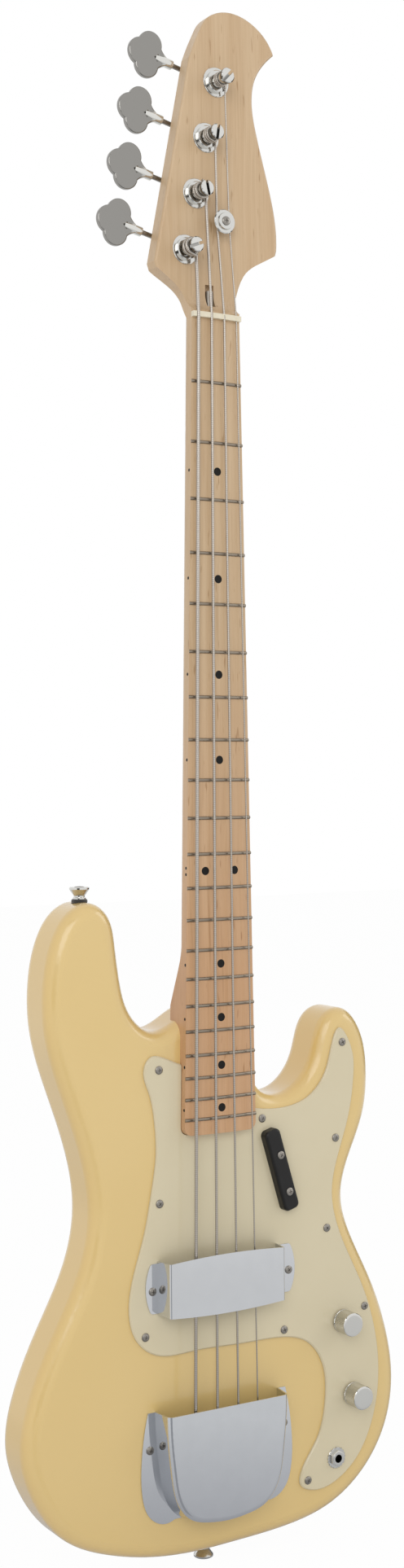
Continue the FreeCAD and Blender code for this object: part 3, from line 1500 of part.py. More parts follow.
face_dots = [dot.common(raw_neck) for dot in make_face_dots()]
side_dots = [dot.common(raw_neck) for dot in make_side_dots()]
nut_half = nut_width / 2
nut_floor = board + board_sag(nut_half) + nut_seat
nut_blank = block(-nut_half, nut_half, board - nut_height, nut_floor, nut_z, nut_z + nut_thickness)
nut_slot = block(-FAR / 4, FAR / 4, board - FAR / 4, nut_floor, nut_z, nut_z + nut_thickness)
nut_axis = Vector(0, board + board_radius, nut_z - FAR / 2)
nut_camber = Part.makeCylinder(board_radius + nut_height, FAR, nut_axis)
grooves = [tube(edges[4:7], radius + groove_clearance) for (edges, _), radius in zip(routes, string_radii)]
nut = nut_blank.common(nut_camber)

tuner_holes = [peg(*post_place(i), bushing_radius, head_front - FAR / 4, head_back + TOUCH)
               for i in range(4)]
tuner_screws = [item for i in range(4) for item in make_tuner_screws(i)]
tree_x, tree_z = tree_place[0], nut_z + tree_place[1]
tree_top = head_front - tree_neck_height - tree_disc_thickness - tree_boss_height
tree_screw = screw(tree_x, tree_z, tree_top, tree_screw_head, tree_screw_radius,
                   head_front - tree_top + tree_screw_length)

neck = cut(raw_neck, frets)
neck = cut(neck, face_dots + side_dots + [nut_slot, channel, rod, rod_nut, slot])
neck = cut(neck, tuner_holes + tuner_screws + [tree_screw] + bolts)

body = prism(Part.Wire([wire_xz(body_outline, closed=True)]), front, back)
body = body.makeFillet(body_edge_round, edges_at_depth(body, front) + edges_at_depth(body, back))
pocket = heel_prism(0, board, board + heel_thickness, neck_end + heel_length)

guard_fixings = [screw(x, z, guard_top, guard_screw_head, guard_screw_radius, guard_screw_length)
                 for x, z in guard_screws]
rest_fixings = [screw(x, z, guard_top - rest_height, guard_screw_head, guard_screw_radius,
                      rest_height + guard_screw_length) for x, z in rest_screws]
pickup_cover_fixings = [screw(x, z, guard_top - cover_wall, guard_screw_head, guard_screw_radius,
                              guard_screw_length) for x, z in pickup_cover_screw_places()]
bridge_cover_fixings = [screw(x, z, front - cover_wall, guard_screw_head, guard_screw_radius,
                              guard_screw_length) for x, z in bridge_cover_screw_places()]
bridge_fixings = [screw(x, z, front - bridge_thickness, bridge_screw_head, bridge_screw_radius,
                        bridge_screw_length) for x, z in bridge_screw_places()]
pickup_flange_top = front + pickup_depth - pickup_flange_thickness
pickup_fixings = [screw(x, z, pickup_flange_top, guard_screw_head, pickup_screw_radius, guard_screw_length)
                  for x, z in pickup_screw_places()]
strap_washers = [make_strap_washer(upper) for upper in (False, True)]
strap_screws = [make_strap_screw(upper) for upper in (False, True)]
body = cut(body, [pocket] + control_cavity())
body = cut(body, guard_fixings + rest_fixings + pickup_cover_fixings + bridge_cover_fixings + bridge_fixings
           + pickup_fixings + strap_screws + strap_washers + bolts)

save("body", [body])
save("neck", [neck])
save("skunk_stripe", [strip])
save("truss_rod", [rod])
save("truss_rod_nut", [rod_nut])
save("frets", frets)
save("position_dots", face_dots + side_dots)
save("nut", [cut(nut, grooves)])
save("string_tree", [make_tree()])
save("tuner_bushings", [make_bushing(i) for i in range(4)])
save("tuner_plates", [make_tuner_plate(i) for i in range(4)])
save("tuner_screws", tuner_screws)
for i, name in enumerate(string_names):
    save("key_" + name, [make_key(i)])
    save("worm_" + name, [make_worm(i)])
    save("post_" + name, [make_post(i), make_wheel_screw(i)])
    save("wheel_" + name, [make_wheel(i)])
    save("string_" + name, [strings[i], make_ball(i)])
save("bridge_plate", [make_bridge_plate()])
save("saddles", [make_saddle(i, bends[i]) for i in range(4)])
save("saddle_height_screws", [item for i in range(4) for item in make_height_screws(i, bends[i])])
save("intonation_screws", [make_intonation_screw(i, bends[i]) for i in range(4)])
save("intonation_springs", [make_spring(i, bends[i]) for i in range(4)])
save("bridge_screws", bridge_fixings)
save("bridge_cover", [make_bridge_cover()])
save("pickup_cover", [make_pickup_cover()])
save("cover_and_rest_screws", pickup_cover_fixings + bridge_cover_fixings + rest_fixings)
save("pickguard", [make_guard()])
save("guard_and_pickup_screws", guard_fixings + pickup_fixings)
save("thumb_rest", [make_thumb_rest()])
save("pickup", [make_pickup()])
save("pole_pieces", [make_pole(place) for place in pole_places()])
save("pots", [make_pot(volume_place), make_pot(tone_place)])
save("control_nuts", make_pot_nut(volume_place) + make_pot_nut(tone_place) + make_jack_nut())
save("volume_shaft", [make_shaft(volume_place)])
save("tone_shaft", [make_shaft(tone_place)])
save("volume_knob", [make_knob(volume_place)])
save("tone_knob", [make_knob(tone_place)])
save("jack_socket", [make_jack()])
save("wiring", make_wiring())
save("capacitor", [make_capacitor()])
save("strap_buttons", [make_strap_button(upper) for upper in (False, True)])
save("strap_washers", strap_washers)
save("strap_and_tree_screws", strap_screws + [tree_screw])
save("neck_plate", [make_neck_plate()])
save("neck_bolts", bolts)
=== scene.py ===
# %% [markdown]
# # Electric bass guitar
# The loaded frame holds every hard part of the instrument at its true size and place. The cells below
# give each part the finish of its real material, and model again the small pieces that need a finer mesh:
# cross-head screws, knurled knobs, nuts, wound strings, springs, cloth-covered leads and felt washers.

import json
import math

import bpy
from mathutils import Matrix, Vector

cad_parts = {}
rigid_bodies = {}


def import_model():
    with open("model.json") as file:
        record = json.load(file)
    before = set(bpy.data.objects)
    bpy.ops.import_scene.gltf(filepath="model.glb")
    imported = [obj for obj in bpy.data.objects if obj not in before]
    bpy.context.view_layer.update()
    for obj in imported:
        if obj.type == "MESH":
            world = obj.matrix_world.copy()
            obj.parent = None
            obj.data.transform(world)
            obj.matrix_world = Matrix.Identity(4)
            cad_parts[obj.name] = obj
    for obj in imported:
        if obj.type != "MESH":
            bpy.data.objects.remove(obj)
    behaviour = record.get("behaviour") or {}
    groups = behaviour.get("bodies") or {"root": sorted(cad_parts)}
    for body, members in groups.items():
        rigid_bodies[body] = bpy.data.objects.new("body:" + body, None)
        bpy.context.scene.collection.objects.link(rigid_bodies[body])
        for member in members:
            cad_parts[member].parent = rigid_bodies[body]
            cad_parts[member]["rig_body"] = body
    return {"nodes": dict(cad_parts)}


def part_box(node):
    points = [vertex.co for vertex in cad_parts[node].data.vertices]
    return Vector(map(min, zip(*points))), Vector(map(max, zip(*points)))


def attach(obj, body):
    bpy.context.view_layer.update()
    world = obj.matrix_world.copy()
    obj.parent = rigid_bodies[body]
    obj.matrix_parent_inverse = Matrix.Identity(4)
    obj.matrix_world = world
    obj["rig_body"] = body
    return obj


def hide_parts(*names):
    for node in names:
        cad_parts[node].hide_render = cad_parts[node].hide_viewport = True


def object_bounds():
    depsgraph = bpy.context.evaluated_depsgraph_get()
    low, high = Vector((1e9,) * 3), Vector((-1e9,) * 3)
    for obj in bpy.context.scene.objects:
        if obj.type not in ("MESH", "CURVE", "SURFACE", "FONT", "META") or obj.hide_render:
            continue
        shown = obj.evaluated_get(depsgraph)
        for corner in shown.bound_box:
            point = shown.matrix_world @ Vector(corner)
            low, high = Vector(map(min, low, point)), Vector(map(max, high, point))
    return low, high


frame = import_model()
nodes = frame["nodes"]
cad_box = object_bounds()
print("loaded", len(nodes), "parts in a box of", [round(side, 3) for side in cad_box[1] - cad_box[0]], "m")

# %% [markdown]
# The picture is tall and narrow, and looks at the instrument from the bass side at about thirty degrees,
# almost level. A camera could be aimed by a tracking constraint, but a place and three angles are plainer.
# The lens is set against the longer side of the picture, so the focal length in pixels is scaled by it.

# %% Camera
MM = 0.001
PICTURE_HEIGHT = 1926
FOCAL_PIXELS = 2394.4
SENSOR_MM = 36.0
CAMERA_PLACE_MM = (-775.6, -1296.7, 593.9)
CAMERA_TURN_DEGREES = (89.763, 0.4105, -31.007)

bpy.ops.object.select_all(action="DESELECT")
bpy.ops.object.camera_add(
    location=Vector(CAMERA_PLACE_MM) * MM,
    rotation=[math.radians(angle) for angle in CAMERA_TURN_DEGREES],
)
camera = bpy.context.object
camera.data.sensor_width = SENSOR_MM
camera.data.lens = FOCAL_PIXELS * SENSOR_MM / PICTURE_HEIGHT
bpy.context.scene.camera = camera
bpy.context.scene.view_settings.view_transform = "Standard"
print("lens", round(camera.data.lens, 2), "mm")

# %% [markdown]
# Every finish is a small tree of shader nodes. One function adds a node, sets its properties, and fills
# each input with a constant or with another node's output. Colours are written as sRGB hex values, as a
# colour picker shows them, and turned to the linear values that the renderer works with.

# %% Node and colour helpers
# Places of the colour sockets on a Mix node
MIX_FACTOR, MIX_A, MIX_B = 0, 6, 7


def hex_colour(code):
    """Linear colour with full alpha from an sRGB hex value."""
    shares = [int(code[start:start + 2], 16) / 255 for start in (1, 3, 5)]
    linear = [share / 12.92 if share <= 0.04045 else ((share + 0.055) / 1.055) ** 2.4 for share in shares]
    return (*linear, 1.0)


def add(tree, kind, inputs=None, **settings):
    """Add a shader node; an input is a value, a hex colour, an output, or a node for its first output."""
    node = tree.nodes.new("ShaderNode" + kind)
    for name, value in settings.items():
        setattr(node, name, value)
    for socket, value in (inputs or {}).items():
        if isinstance(value, str):
            value = hex_colour(value)
        if isinstance(value, bpy.types.Node):
            value = next(output for output in value.outputs if output.enabled)
        if isinstance(value, bpy.types.NodeSocket):
            tree.links.new(value, node.inputs[socket])
        else:
            node.inputs[socket].default_value = value
    return node


def blank_material(name):
    """Empty material and its node tree."""
    material = bpy.data.materials.new(name)
    material.use_nodes = True
    material.node_tree.nodes.clear()
    return material, material.node_tree


def close_material(tree, inputs):
    """End a tree with one shader."""
    add(tree, "OutputMaterial", {"Surface": add(tree, "BsdfPrincipled", inputs)})


def close_two_tone(tree, share, first, second, relief, strength, depth_mm, inputs):
    """End a tree with a shader that mixes two colours by a share, and is embossed by a relief."""
    shade = add(tree, "Mix", {MIX_FACTOR: share, MIX_A: first, MIX_B: second}, data_type="RGBA")
    bump = add(tree, "Bump", {"Height": relief, "Strength": strength, "Distance": depth_mm * MM})
    close_material(tree, {"Base Color": shade, "Normal": bump, **inputs})


def per_metre(size_mm):
    """Texture scale that makes one feature as large as a size in millimetres."""
    return 1.0 / (size_mm * MM)


WHITE = "#FFFFFF"
print("helpers ready; mid grey is", round(hex_colour("#808080")[0], 3), "linear")

# %% [markdown]
# The instrument stands in a white studio. A floor and a world that are simply lit brighter would wash out
# the finish, so both show a plain white to the camera and to mirrors, and light the object at an ordinary
# level. A small share of the floor's look stays real shading, which keeps the soft shadow under the body.

# %% Floor and world
FLOOR_SIZE_M = 14.0
FLOOR_GAP = 0.0004
FLOOR_WHITE = 0.97
WORLD_LIGHT = 0.66


def seen_directly(tree, share):
    """How much of the plain white is shown: a share for rays from the eye, a mirror or glass, else none."""
    ray = add(tree, "LightPath").outputs
    seen = ray["Is Camera Ray"]
    for mirrored in ("Is Glossy Ray", "Is Transmission Ray"):
        seen = add(tree, "Math", {0: seen, 1: ray[mirrored]}, operation="MAXIMUM")
    return add(tree, "Math", {0: seen, 1: share}, operation="MULTIPLY")


def white_floor():
    """Matt white paper sweep."""
    material, tree = blank_material("white paper sweep")
    paper = add(tree, "BsdfDiffuse", {"Color": "#F4F4F2"})
    white = add(tree, "Emission", {"Color": WHITE, "Strength": 1.0})
    mixed = add(tree, "MixShader", {0: seen_directly(tree, FLOOR_WHITE), 1: paper, 2: white})
    add(tree, "OutputMaterial", {"Surface": mixed})
    return material


bpy.ops.mesh.primitive_plane_add(size=FLOOR_SIZE_M, location=(0, 0, cad_box[0].z - FLOOR_GAP))
floor = bpy.context.object
floor.name = "floor"
floor.data.materials.append(white_floor())

world = bpy.data.worlds.new("white studio")
world.use_nodes = True
sky = world.node_tree
sky.nodes.clear()
room_light = add(sky, "Background", {"Color": WHITE, "Strength": WORLD_LIGHT})
room_white = add(sky, "Background", {"Color": WHITE, "Strength": 1.0})
room = add(sky, "MixShader", {0: seen_directly(sky, 1.0), 1: room_light, 2: room_white})
add(sky, "OutputWorld", {"Surface": room})
bpy.context.scene.world = world
print("floor at", round(floor.location.z, 4), "m")

# %% [markdown]
# A photographer lights gloss and chrome with large soft panels, and sets cards out of the picture so that
# rounded metal edges read: two dark ones stand at the sides, and two soft wedges lie on the floor and draw
# a line along each shoulder. A large one under them is grey at the instrument's foot and paler with
# distance, so a flat cover mirrors a soft fade. Plain cards would cut hard edges into the chrome.

# %% Finishes of the cards
CARD_GREY = "#4A4A4A"
WEDGE_GREY = "#989A9E"
FLOOR_CARD_M = (3.2, 3.2)
FLOOR_FADE = [(0.0, "#A4A5A9"), (0.2, "#C4C5C8"), (0.4, "#DCDDDE"), (0.9, "#E1E1E1"), (1.55, "#F8F8F8")]
# The wedge's tip in shares of its card, and the slopes where it is clear and full
WEDGE_TIP, WEDGE_CLEAR, WEDGE_FULL = 0.55, 0.5, 0.1


def grey_card():
    """Matt grey card."""
    material, tree = blank_material("matt grey card")
    close_material(tree, {"Base Color": CARD_GREY, "Roughness": 0.9, "Specular IOR Level": 0.0})
    return material


def fading_card():
    """Card that turns paler with the distance from its middle."""
    material, tree = blank_material("fading card")
    away = add(tree, "VectorMath", {0: add(tree, "TexCoord").outputs["Object"]}, operation="LENGTH")
    far = FLOOR_FADE[-1][0]
    share = add(tree, "Math", {0: away, 1: far / FLOOR_CARD_M[0]}, operation="DIVIDE")
    fade = add(tree, "ValToRGB", {"Fac": share})
    stops = fade.color_ramp.elements
    while len(stops) < len(FLOOR_FADE):
        stops.new(1.0)
    for stop, (distance, colour) in zip(stops, FLOOR_FADE):
        stop.position = distance / far
        stop.color = hex_colour(colour)
    glow = add(tree, "Emission", {"Color": fade, "Strength": 1.0})
    add(tree, "OutputMaterial", {"Surface": glow})
    return material


def soft_wedge():
    """Grey wedge, pointed at one end of its card, that fades out towards its sides."""
    material, tree = blank_material("soft grey wedge")
    place = add(tree, "SeparateXYZ", {0: add(tree, "TexCoord").outputs["Object"]}).outputs
    off_axis = add(tree, "Math", {0: place["X"]}, operation="ABSOLUTE")
    from_tip = add(tree, "Math", {0: WEDGE_TIP, 1: place["Y"]}, operation="SUBTRACT")
    spread = add(tree, "Math", {0: off_axis, 1: from_tip}, operation="DIVIDE")
    share = add(tree, "MapRange", {
        "Value": spread, "From Min": WEDGE_CLEAR, "From Max": WEDGE_FULL,
    }, interpolation_type="SMOOTHSTEP")
    tone = add(tree, "Emission", {"Color": WEDGE_GREY, "Strength": 1.0})
    mixed = add(tree, "MixShader", {0: share, 1: add(tree, "BsdfTransparent"), 2: tone})
    add(tree, "OutputMaterial", {"Surface": mixed})
    return material


dark_card, floor_card, wedge_card = grey_card(), fading_card(), soft_wedge()
print("cards:", dark_card.name, "and", floor_card.name, "and", wedge_card.name)

# %% [markdown]
# The lamps are square area lights, because a small lamp would leave a hard dot in every curve of the gloss.
# The cards show only in reflections: they throw no shadow, and the camera never sees them.

# %% Lamps and cards
# Each lamp: place and size in metres, power in watts
LAMPS = {
    "key panel": ((-1.6, -2.2, 1.7), 1.8, 27.0),
    "fill panel": ((2.4, -1.2, 1.6), 1.4, 9.0),
}
LAMP_AIM = Vector((0, 0, 0.5))
STANDING_CARDS = {
    "card_behind_camera": ((-1.9, -2.3, 1.2), (1.7, 4.4)),
    "card_on_treble_side": ((2.6, 0.4, 0.5), (1.8, 3.0)),
}
CARD_LIFT = 0.0002
FLOOR_WEDGES = {
    "wedge_towards_camera": ((-0.33, -0.55), (1.0, 1.12), -31.0),
    "wedge_on_treble_side": ((0.66, 0.0), (1.0, 1.1), 90.0),
}


def aim(thing, target):
    """Turn a lamp or card so that its -Z axis points at a target."""
    thing.rotation_euler = (target - thing.location).to_track_quat("-Z", "Y").to_euler()


def studio_card(name, place, size, finish):
    """Card that only mirrors see."""
    bpy.ops.mesh.primitive_plane_add(size=1.0, location=place)
    card = bpy.context.object
    card.name = name
    card.scale = (*size, 1.0)
    card.data.materials.append(finish)
    card.visible_camera = False
    card.visible_diffuse = False
    card.visible_shadow = False
    return card


for name, (place, size, power) in LAMPS.items():
    bpy.ops.object.light_add(type="AREA", location=place)
    lamp = bpy.context.object
    lamp.name = name
    lamp.data.size = size
    lamp.data.energy = power
    aim(lamp, LAMP_AIM)
for name, (place, size) in STANDING_CARDS.items():
    aim(studio_card(name, place, size, dark_card), LAMP_AIM)
studio_card("card_on_floor", (0, 0, floor.location.z + CARD_LIFT), FLOOR_CARD_M, floor_card)
for name, (place, size, turn) in FLOOR_WEDGES.items():
    wedge = studio_card(name, (*place, floor.location.z + 2 * CARD_LIFT), size, wedge_card)
    wedge.rotation_euler.z = math.radians(turn)
print(len(LAMPS), "lamps and", len(STANDING_CARDS) + len(FLOOR_WEDGES) + 1, "cards")

# %% [markdown]
# The body is wood under a thick polyester lacquer, sprayed cream and buffed to a mirror gloss. The eye gets
# an even colour, painted a little deeper and warmer round the sides as painted shade, a clear coat that
# mirrors the strings softly, and a trace of orange peel in that mirror.

# %% Cream lacquer
SIDE_SHADE_FADE_MM = (22.0, 14.0)


def polyester_lacquer():
    """Cream polyester lacquer, sprayed and buffed, with painted shade round the sides."""
    material, tree = blank_material("cream polyester lacquer")
    place = add(tree, "TexCoord").outputs["Object"]
    clouds = add(tree, "TexNoise", {"Vector": place, "Scale": per_metre(130), "Detail": 2.0})
    even = add(tree, "Mix", {MIX_FACTOR: clouds, MIX_A: "#E0C384", MIX_B: "#DCBD78"}, data_type="RGBA")
    # Painted shade: the colour turns deeper and warmer round the sides, near the middle of the body's depth.
    depth = add(tree, "SeparateXYZ", {0: place}).outputs["Y"]
    off_middle = add(tree, "Math", {0: depth}, operation="ABSOLUTE")
    rim = add(tree, "MapRange", {
        "Value": off_middle, "To Max": 0.55,
        "From Min": SIDE_SHADE_FADE_MM[0] * MM, "From Max": SIDE_SHADE_FADE_MM[1] * MM,
    })
    colour = add(tree, "Mix", {MIX_FACTOR: rim, MIX_A: even, MIX_B: "#DAB66E"}, data_type="RGBA")
    peel = add(tree, "TexNoise", {"Vector": place, "Scale": per_metre(2.2), "Detail": 1.0})
    bump = add(tree, "Bump", {"Height": peel, "Strength": 0.03, "Distance": 0.2 * MM})
    close_material(tree, {
        "Base Color": colour, "Roughness": 0.35, "IOR": 1.5,
        "Coat Weight": 1.0, "Coat Roughness": 0.16, "Coat Normal": bump,
    })
    return material


finishes = {"lacquer": polyester_lacquer()}
print("body finish:", finishes["lacquer"].name)

# %% [markdown]
# The neck is hard maple under a thin satin lacquer, with a walnut strip let into its back. Both are wood
# cut along the trunk, so one function draws them: growth rings stretched along the neck, finer fibres
# between them, short flecks, and a few darker streaks. The stretch is made by squeezing the pattern's
# coordinate along Z. Towards the body the maple is tinted a little warmer, a painted warm bounce of light
# from the cream body.

# %% Maple and walnut
BODY_BOUNCE_FADE_M = (0.70, 0.44)
RING_STRETCH = (1.0, 0.55, 0.03)
GRAIN_SWAY_M = (0.014, 0.004, 0.0)


def straight_grained_wood(name, pale, ring, streak, ring_mm, roughness, body_bounce=0.0):
    """Wood with its grain along Z in three colours, with a painted warm bounce of light towards the body."""
    material, tree = blank_material(name)
    place = add(tree, "TexCoord").outputs["Object"]
    wander = add(tree, "TexNoise", {"Vector": place, "Scale": per_metre(150), "Detail": 1.0})
    sway = add(tree, "VectorMath", {0: wander.outputs["Color"], 1: GRAIN_SWAY_M}, operation="MULTIPLY")
    bent = add(tree, "VectorMath", {0: place, 1: sway}, operation="ADD")
    along = add(tree, "Mapping", {"Vector": bent, "Scale": RING_STRETCH})
    rings = add(tree, "TexNoise", {
        "Vector": along, "Scale": per_metre(ring_mm), "Detail": 4.0, "Roughness": 0.65, "Distortion": 0.4,
    })
    share = add(tree, "MapRange", {"Value": rings, "From Min": 0.38, "From Max": 0.7})
    colour = add(tree, "Mix", {MIX_FACTOR: share, MIX_A: pale, MIX_B: ring}, data_type="RGBA")
    # Each mark: its stretch, width in millimetres and detail, where its noise starts and is full, strength
    marks = {
        "fibres": ((1.0, 1.0, 0.018), 0.9, 2.0, 0.5, 0.75, 0.22),
        "flecks": ((1.0, 1.0, 0.14), 2.4, 1.0, 0.69, 0.78, 0.7),
        "streaks": (RING_STRETCH, ring_mm * 0.55, 1.0, 0.66, 0.8, 0.45),
    }
    noises = {}
    for mark, (stretch, width_mm, detail, start, full, strength) in marks.items():
        drawn = add(tree, "Mapping", {"Vector": bent, "Scale": stretch})
        noise = add(tree, "TexNoise", {"Vector": drawn, "Scale": per_metre(width_mm), "Detail": detail})
        share = add(tree, "MapRange", {
            "Value": noise, "From Min": start, "From Max": full, "To Max": strength,
        })
        colour = add(tree, "Mix", {MIX_FACTOR: share, MIX_A: colour, MIX_B: streak}, data_type="RGBA")
        noises[mark] = noise
    height = add(tree, "SeparateXYZ", {0: place}).outputs["Z"]
    # Painted light: a warm bounce from the cream body, growing stronger towards it.
    bounce_share = add(tree, "MapRange", {
        "Value": height, "From Min": BODY_BOUNCE_FADE_M[0], "From Max": BODY_BOUNCE_FADE_M[1], "To Max": body_bounce,
    })
    colour = add(tree, "Mix", {
        MIX_FACTOR: bounce_share, MIX_A: colour, MIX_B: "#FEE9DB",
    }, data_type="RGBA", blend_type="MULTIPLY")
    bump = add(tree, "Bump", {"Height": noises["fibres"], "Strength": 0.05, "Distance": 0.1 * MM})
    close_material(tree, {
        "Base Color": colour, "Roughness": roughness, "IOR": 1.5,
        "Coat Weight": 0.35, "Coat Roughness": 0.3, "Normal": bump,
    })
    return material


finishes["maple"] = straight_grained_wood(
    "satin hard maple", "#CCB08C", "#C2A37D", "#A07B52", ring_mm=7.0, roughness=0.42, body_bounce=1.0,
)
finishes["walnut"] = straight_grained_wood(
    "satin walnut", "#6B4A34", "#553826", "#38241A", ring_mm=2.6, roughness=0.45,
)
print("woods:", finishes["maple"].name, "and", finishes["walnut"].name)

# %% [markdown]
# The hardware is steel, zinc and brass, mostly under nickel or chrome plate. A plated surface is a mirror
# with faint smears of handling and hair-fine polishing marks. One function makes each metal from its colour
# and its gloss; the marks are drawn a little coarser than real ones, to show.

# %% Metals
TARNISH = 0.93
# Each metal: name, colour, roughness, how far its gloss wanders, depth of its polishing lines
METALS = {
    "nickel": ("nickel plate", "#D8D7D3", 0.10, 0.08, 0.05),
    "cover_plate": ("bright chrome plate", "#DCDEE1", 0.05, 0.05, 0.02),
    "steel": ("zinc-plated screw steel", "#96918A", 0.26, 0.12, 0.10),
    # The fret wire's brownish grey is painted shade and a painted dark reflection; bare nickel silver is
    # paler.
    "fret_wire": ("polished nickel silver", "#94897B", 0.24, 0.1, 0.05),
    "brass": ("turned brass", "#CBAA62", 0.24, 0.12, 0.10),
}


def handling_smears(tree, place, patch_mm, glossy, dull):
    """Noise of finger marks, and the roughness that it gives between a glossy and a dull value."""
    noise = add(tree, "TexNoise", {"Vector": place, "Scale": per_metre(patch_mm), "Detail": 3.0})
    gloss = add(tree, "MapRange", {
        "Value": noise, "From Min": 0.35, "From Max": 0.7, "To Min": glossy, "To Max": dull,
    })
    return noise, gloss


def plated_metal(name, colour, roughness, smear, marks):
    """Metal of one colour: smear is how far the gloss wanders, marks how deep its polishing lines are."""
    material, tree = blank_material(name)
    place = add(tree, "TexCoord").outputs["Object"]
    handling, gloss = handling_smears(tree, place, 14, roughness, roughness + smear)
    clean = hex_colour(colour)
    dull = (*(share * TARNISH for share in clean[:3]), 1.0)
    lines = add(tree, "Mapping", {"Vector": place, "Scale": (1.0, 1.0, 0.08)})
    polish = add(tree, "TexNoise", {"Vector": lines, "Scale": per_metre(0.5), "Detail": 2.0})
    close_two_tone(tree, handling, clean, dull, polish, marks, 0.05, {"Metallic": 1.0, "Roughness": gloss})
    return material


for slot, facts in METALS.items():
    finishes[slot] = plated_metal(*facts)
print("metals:", [finishes[slot].name for slot in METALS])

# %% [markdown]
# Guard, nut, dots and thumb rest are moulded or machined plastics. A good plastic is nearly one colour with
# a cloudy trace of its filler, a soft mirror, and the faint waviness of the mould in its gloss.

# %% Plastics
# Each plastic: name, colour, its clouds' colour and size, roughness, waviness, and shine if not 0.5
PLASTICS = {
    "guard_plastic": ("cream vinyl sheet", "#D8CDB0", "#D2C6A7", 40.0, 0.22, 0.03),
    "bone": ("polished bone", "#E9E2CE", "#DACFB4", 3.0, 0.3, 0.05),
    "dots": ("black acetal rod", "#0E0D0C", "#171614", 2.0, 0.4, 0.04, 0.2),
    "black_plastic": ("black moulded plastic", "#151414", "#1D1C1C", 6.0, 0.34, 0.12, 0.3),
    "pickup_fibre": ("black vulcanised fibre", "#191817", "#24221F", 1.5, 0.6, 0.25),
    "capacitor_film": ("brown dipped film", "#8A4A22", "#6F3715", 4.0, 0.3, 0.06),
}


def cast_plastic(name, colour, cloud, cloud_mm, roughness, wave, shine=0.5):
    """Plastic of one colour with clouds of another; wave is the depth of its surface waviness."""
    material, tree = blank_material(name)
    place = add(tree, "TexCoord").outputs["Object"]
    filler = add(tree, "TexNoise", {"Vector": place, "Scale": per_metre(cloud_mm), "Detail": 4.0})
    ripple = add(tree, "TexNoise", {"Vector": place, "Scale": per_metre(1.4), "Detail": 2.0})
    close_two_tone(tree, filler, colour, cloud, ripple, wave, 0.1, {
        "Roughness": roughness, "IOR": 1.5, "Specular IOR Level": shine,
    })
    return material


for slot, facts in PLASTICS.items():
    finishes[slot] = cast_plastic(*facts)
print("plastics:", [finishes[slot].name for slot in PLASTICS])

# %% [markdown]
# A bass string is a steel core under a close wrap of round nickel-plated wire. At this distance the wrap
# reads as a fine ladder of highlights. It follows the string, so the pattern runs on the wire's own UV map,
# whose first axis is the length along the wire in metres. Real turns are half a millimetre apart, and are
# drawn twice as coarse, or they would blur out. The leads' cotton braid runs on the UV map too, while felt
# has no direction and takes plain noise.

# %% Wound strings, cotton leads and felt
WRAP_SPACING_MM = 1.0
BRAID_SPACING_MM = 1.6
BRAID_THREADS = 4


def wound_wire(name, colour, shadow):
    """Close-wound wire: a ridge each spacing along the wire."""
    material, tree = blank_material(name)
    along = add(tree, "SeparateXYZ", {0: add(tree, "UVMap")}).outputs["X"]
    phase = add(tree, "Math", {0: along, 1: 2 * math.pi * per_metre(WRAP_SPACING_MM)}, operation="MULTIPLY")
    wave = add(tree, "Math", {0: phase}, operation="SINE")
    ridge = add(tree, "MapRange", {"Value": wave, "From Min": -1.0})
    close_two_tone(tree, ridge, shadow, colour, ridge, 0.25, 0.15, {"Metallic": 1.0, "Roughness": 0.32})
    return material


def waxed_cotton(name, colour, shadow):
    """Waxed cotton braid over a lead: two sets of threads that cross."""
    material, tree = blank_material(name)
    flat = add(tree, "SeparateXYZ", {0: add(tree, "UVMap")}).outputs
    along = add(tree, "Math", {
        0: flat["X"], 1: 2 * math.pi * per_metre(BRAID_SPACING_MM),
    }, operation="MULTIPLY")
    around = add(tree, "Math", {0: flat["Y"], 1: 2 * math.pi * BRAID_THREADS}, operation="MULTIPLY")
    threads = []
    for lean in ("ADD", "SUBTRACT"):
        slant = add(tree, "Math", {0: along, 1: around}, operation=lean)
        threads.append(add(tree, "Math", {0: slant}, operation="SINE"))
    crossing = add(tree, "Math", {0: threads[0], 1: threads[1]}, operation="MULTIPLY")
    weave = add(tree, "MapRange", {"Value": crossing, "From Min": -1.0})
    close_two_tone(tree, weave, shadow, colour, weave, 0.6, 0.2, {"Roughness": 0.85, "Sheen Weight": 0.2})
    return material


def pressed_felt():
    """Black wool felt: matted fibres that scatter light at the rim."""
    material, tree = blank_material("black wool felt")
    place = add(tree, "TexCoord").outputs["Object"]
    wool = add(tree, "TexNoise", {
        "Vector": place, "Scale": per_metre(0.8), "Detail": 5.0, "Distortion": 1.5,
    })
    close_two_tone(tree, wool, "#161514", "#322F2C", wool, 0.8, 0.3, {
        "Roughness": 0.95, "Sheen Weight": 0.4, "Sheen Roughness": 0.6,
    })
    return material


finishes["felt"] = pressed_felt()
finishes["string_wire"] = wound_wire("nickel-wound string wire", "#C8C2BA", "#979087")
finishes["wire_cloth"] = waxed_cotton("waxed cotton braid", "#D9D3C2", "#9A927E")
print("soft finishes ready, wrap drawn every", WRAP_SPACING_MM, "mm")

# %% [markdown]
# The frame's parts carry the names of their material slots. Swapping each slot's plain colour for its finish
# dresses them all at once.

# %% Dress the frame
dressed = 0
for part in nodes.values():
    for slot in part.material_slots:
        if slot.material and slot.material.name in finishes:
            slot.material = finishes[slot.material.name]
            dressed += 1
print("dressed", dressed, "of", len(nodes), "parts")

# %% [markdown]
# Turned pieces such as screws, knobs and washers start as half of their section. Spinning that line a full
# turn about Z gives the whole piece, as a lathe does; merging doubles then closes the seam and the poles.
# Knurls and teeth come from chosen vertices that are drawn in towards the axis.

# %% Lathe helpers
SMOOTH_DEGREES = 35.0


def select_only(piece):
    """Leave one object selected and active."""
    bpy.ops.object.select_all(action="DESELECT")
    piece.select_set(True)
    bpy.context.view_layer.objects.active = piece


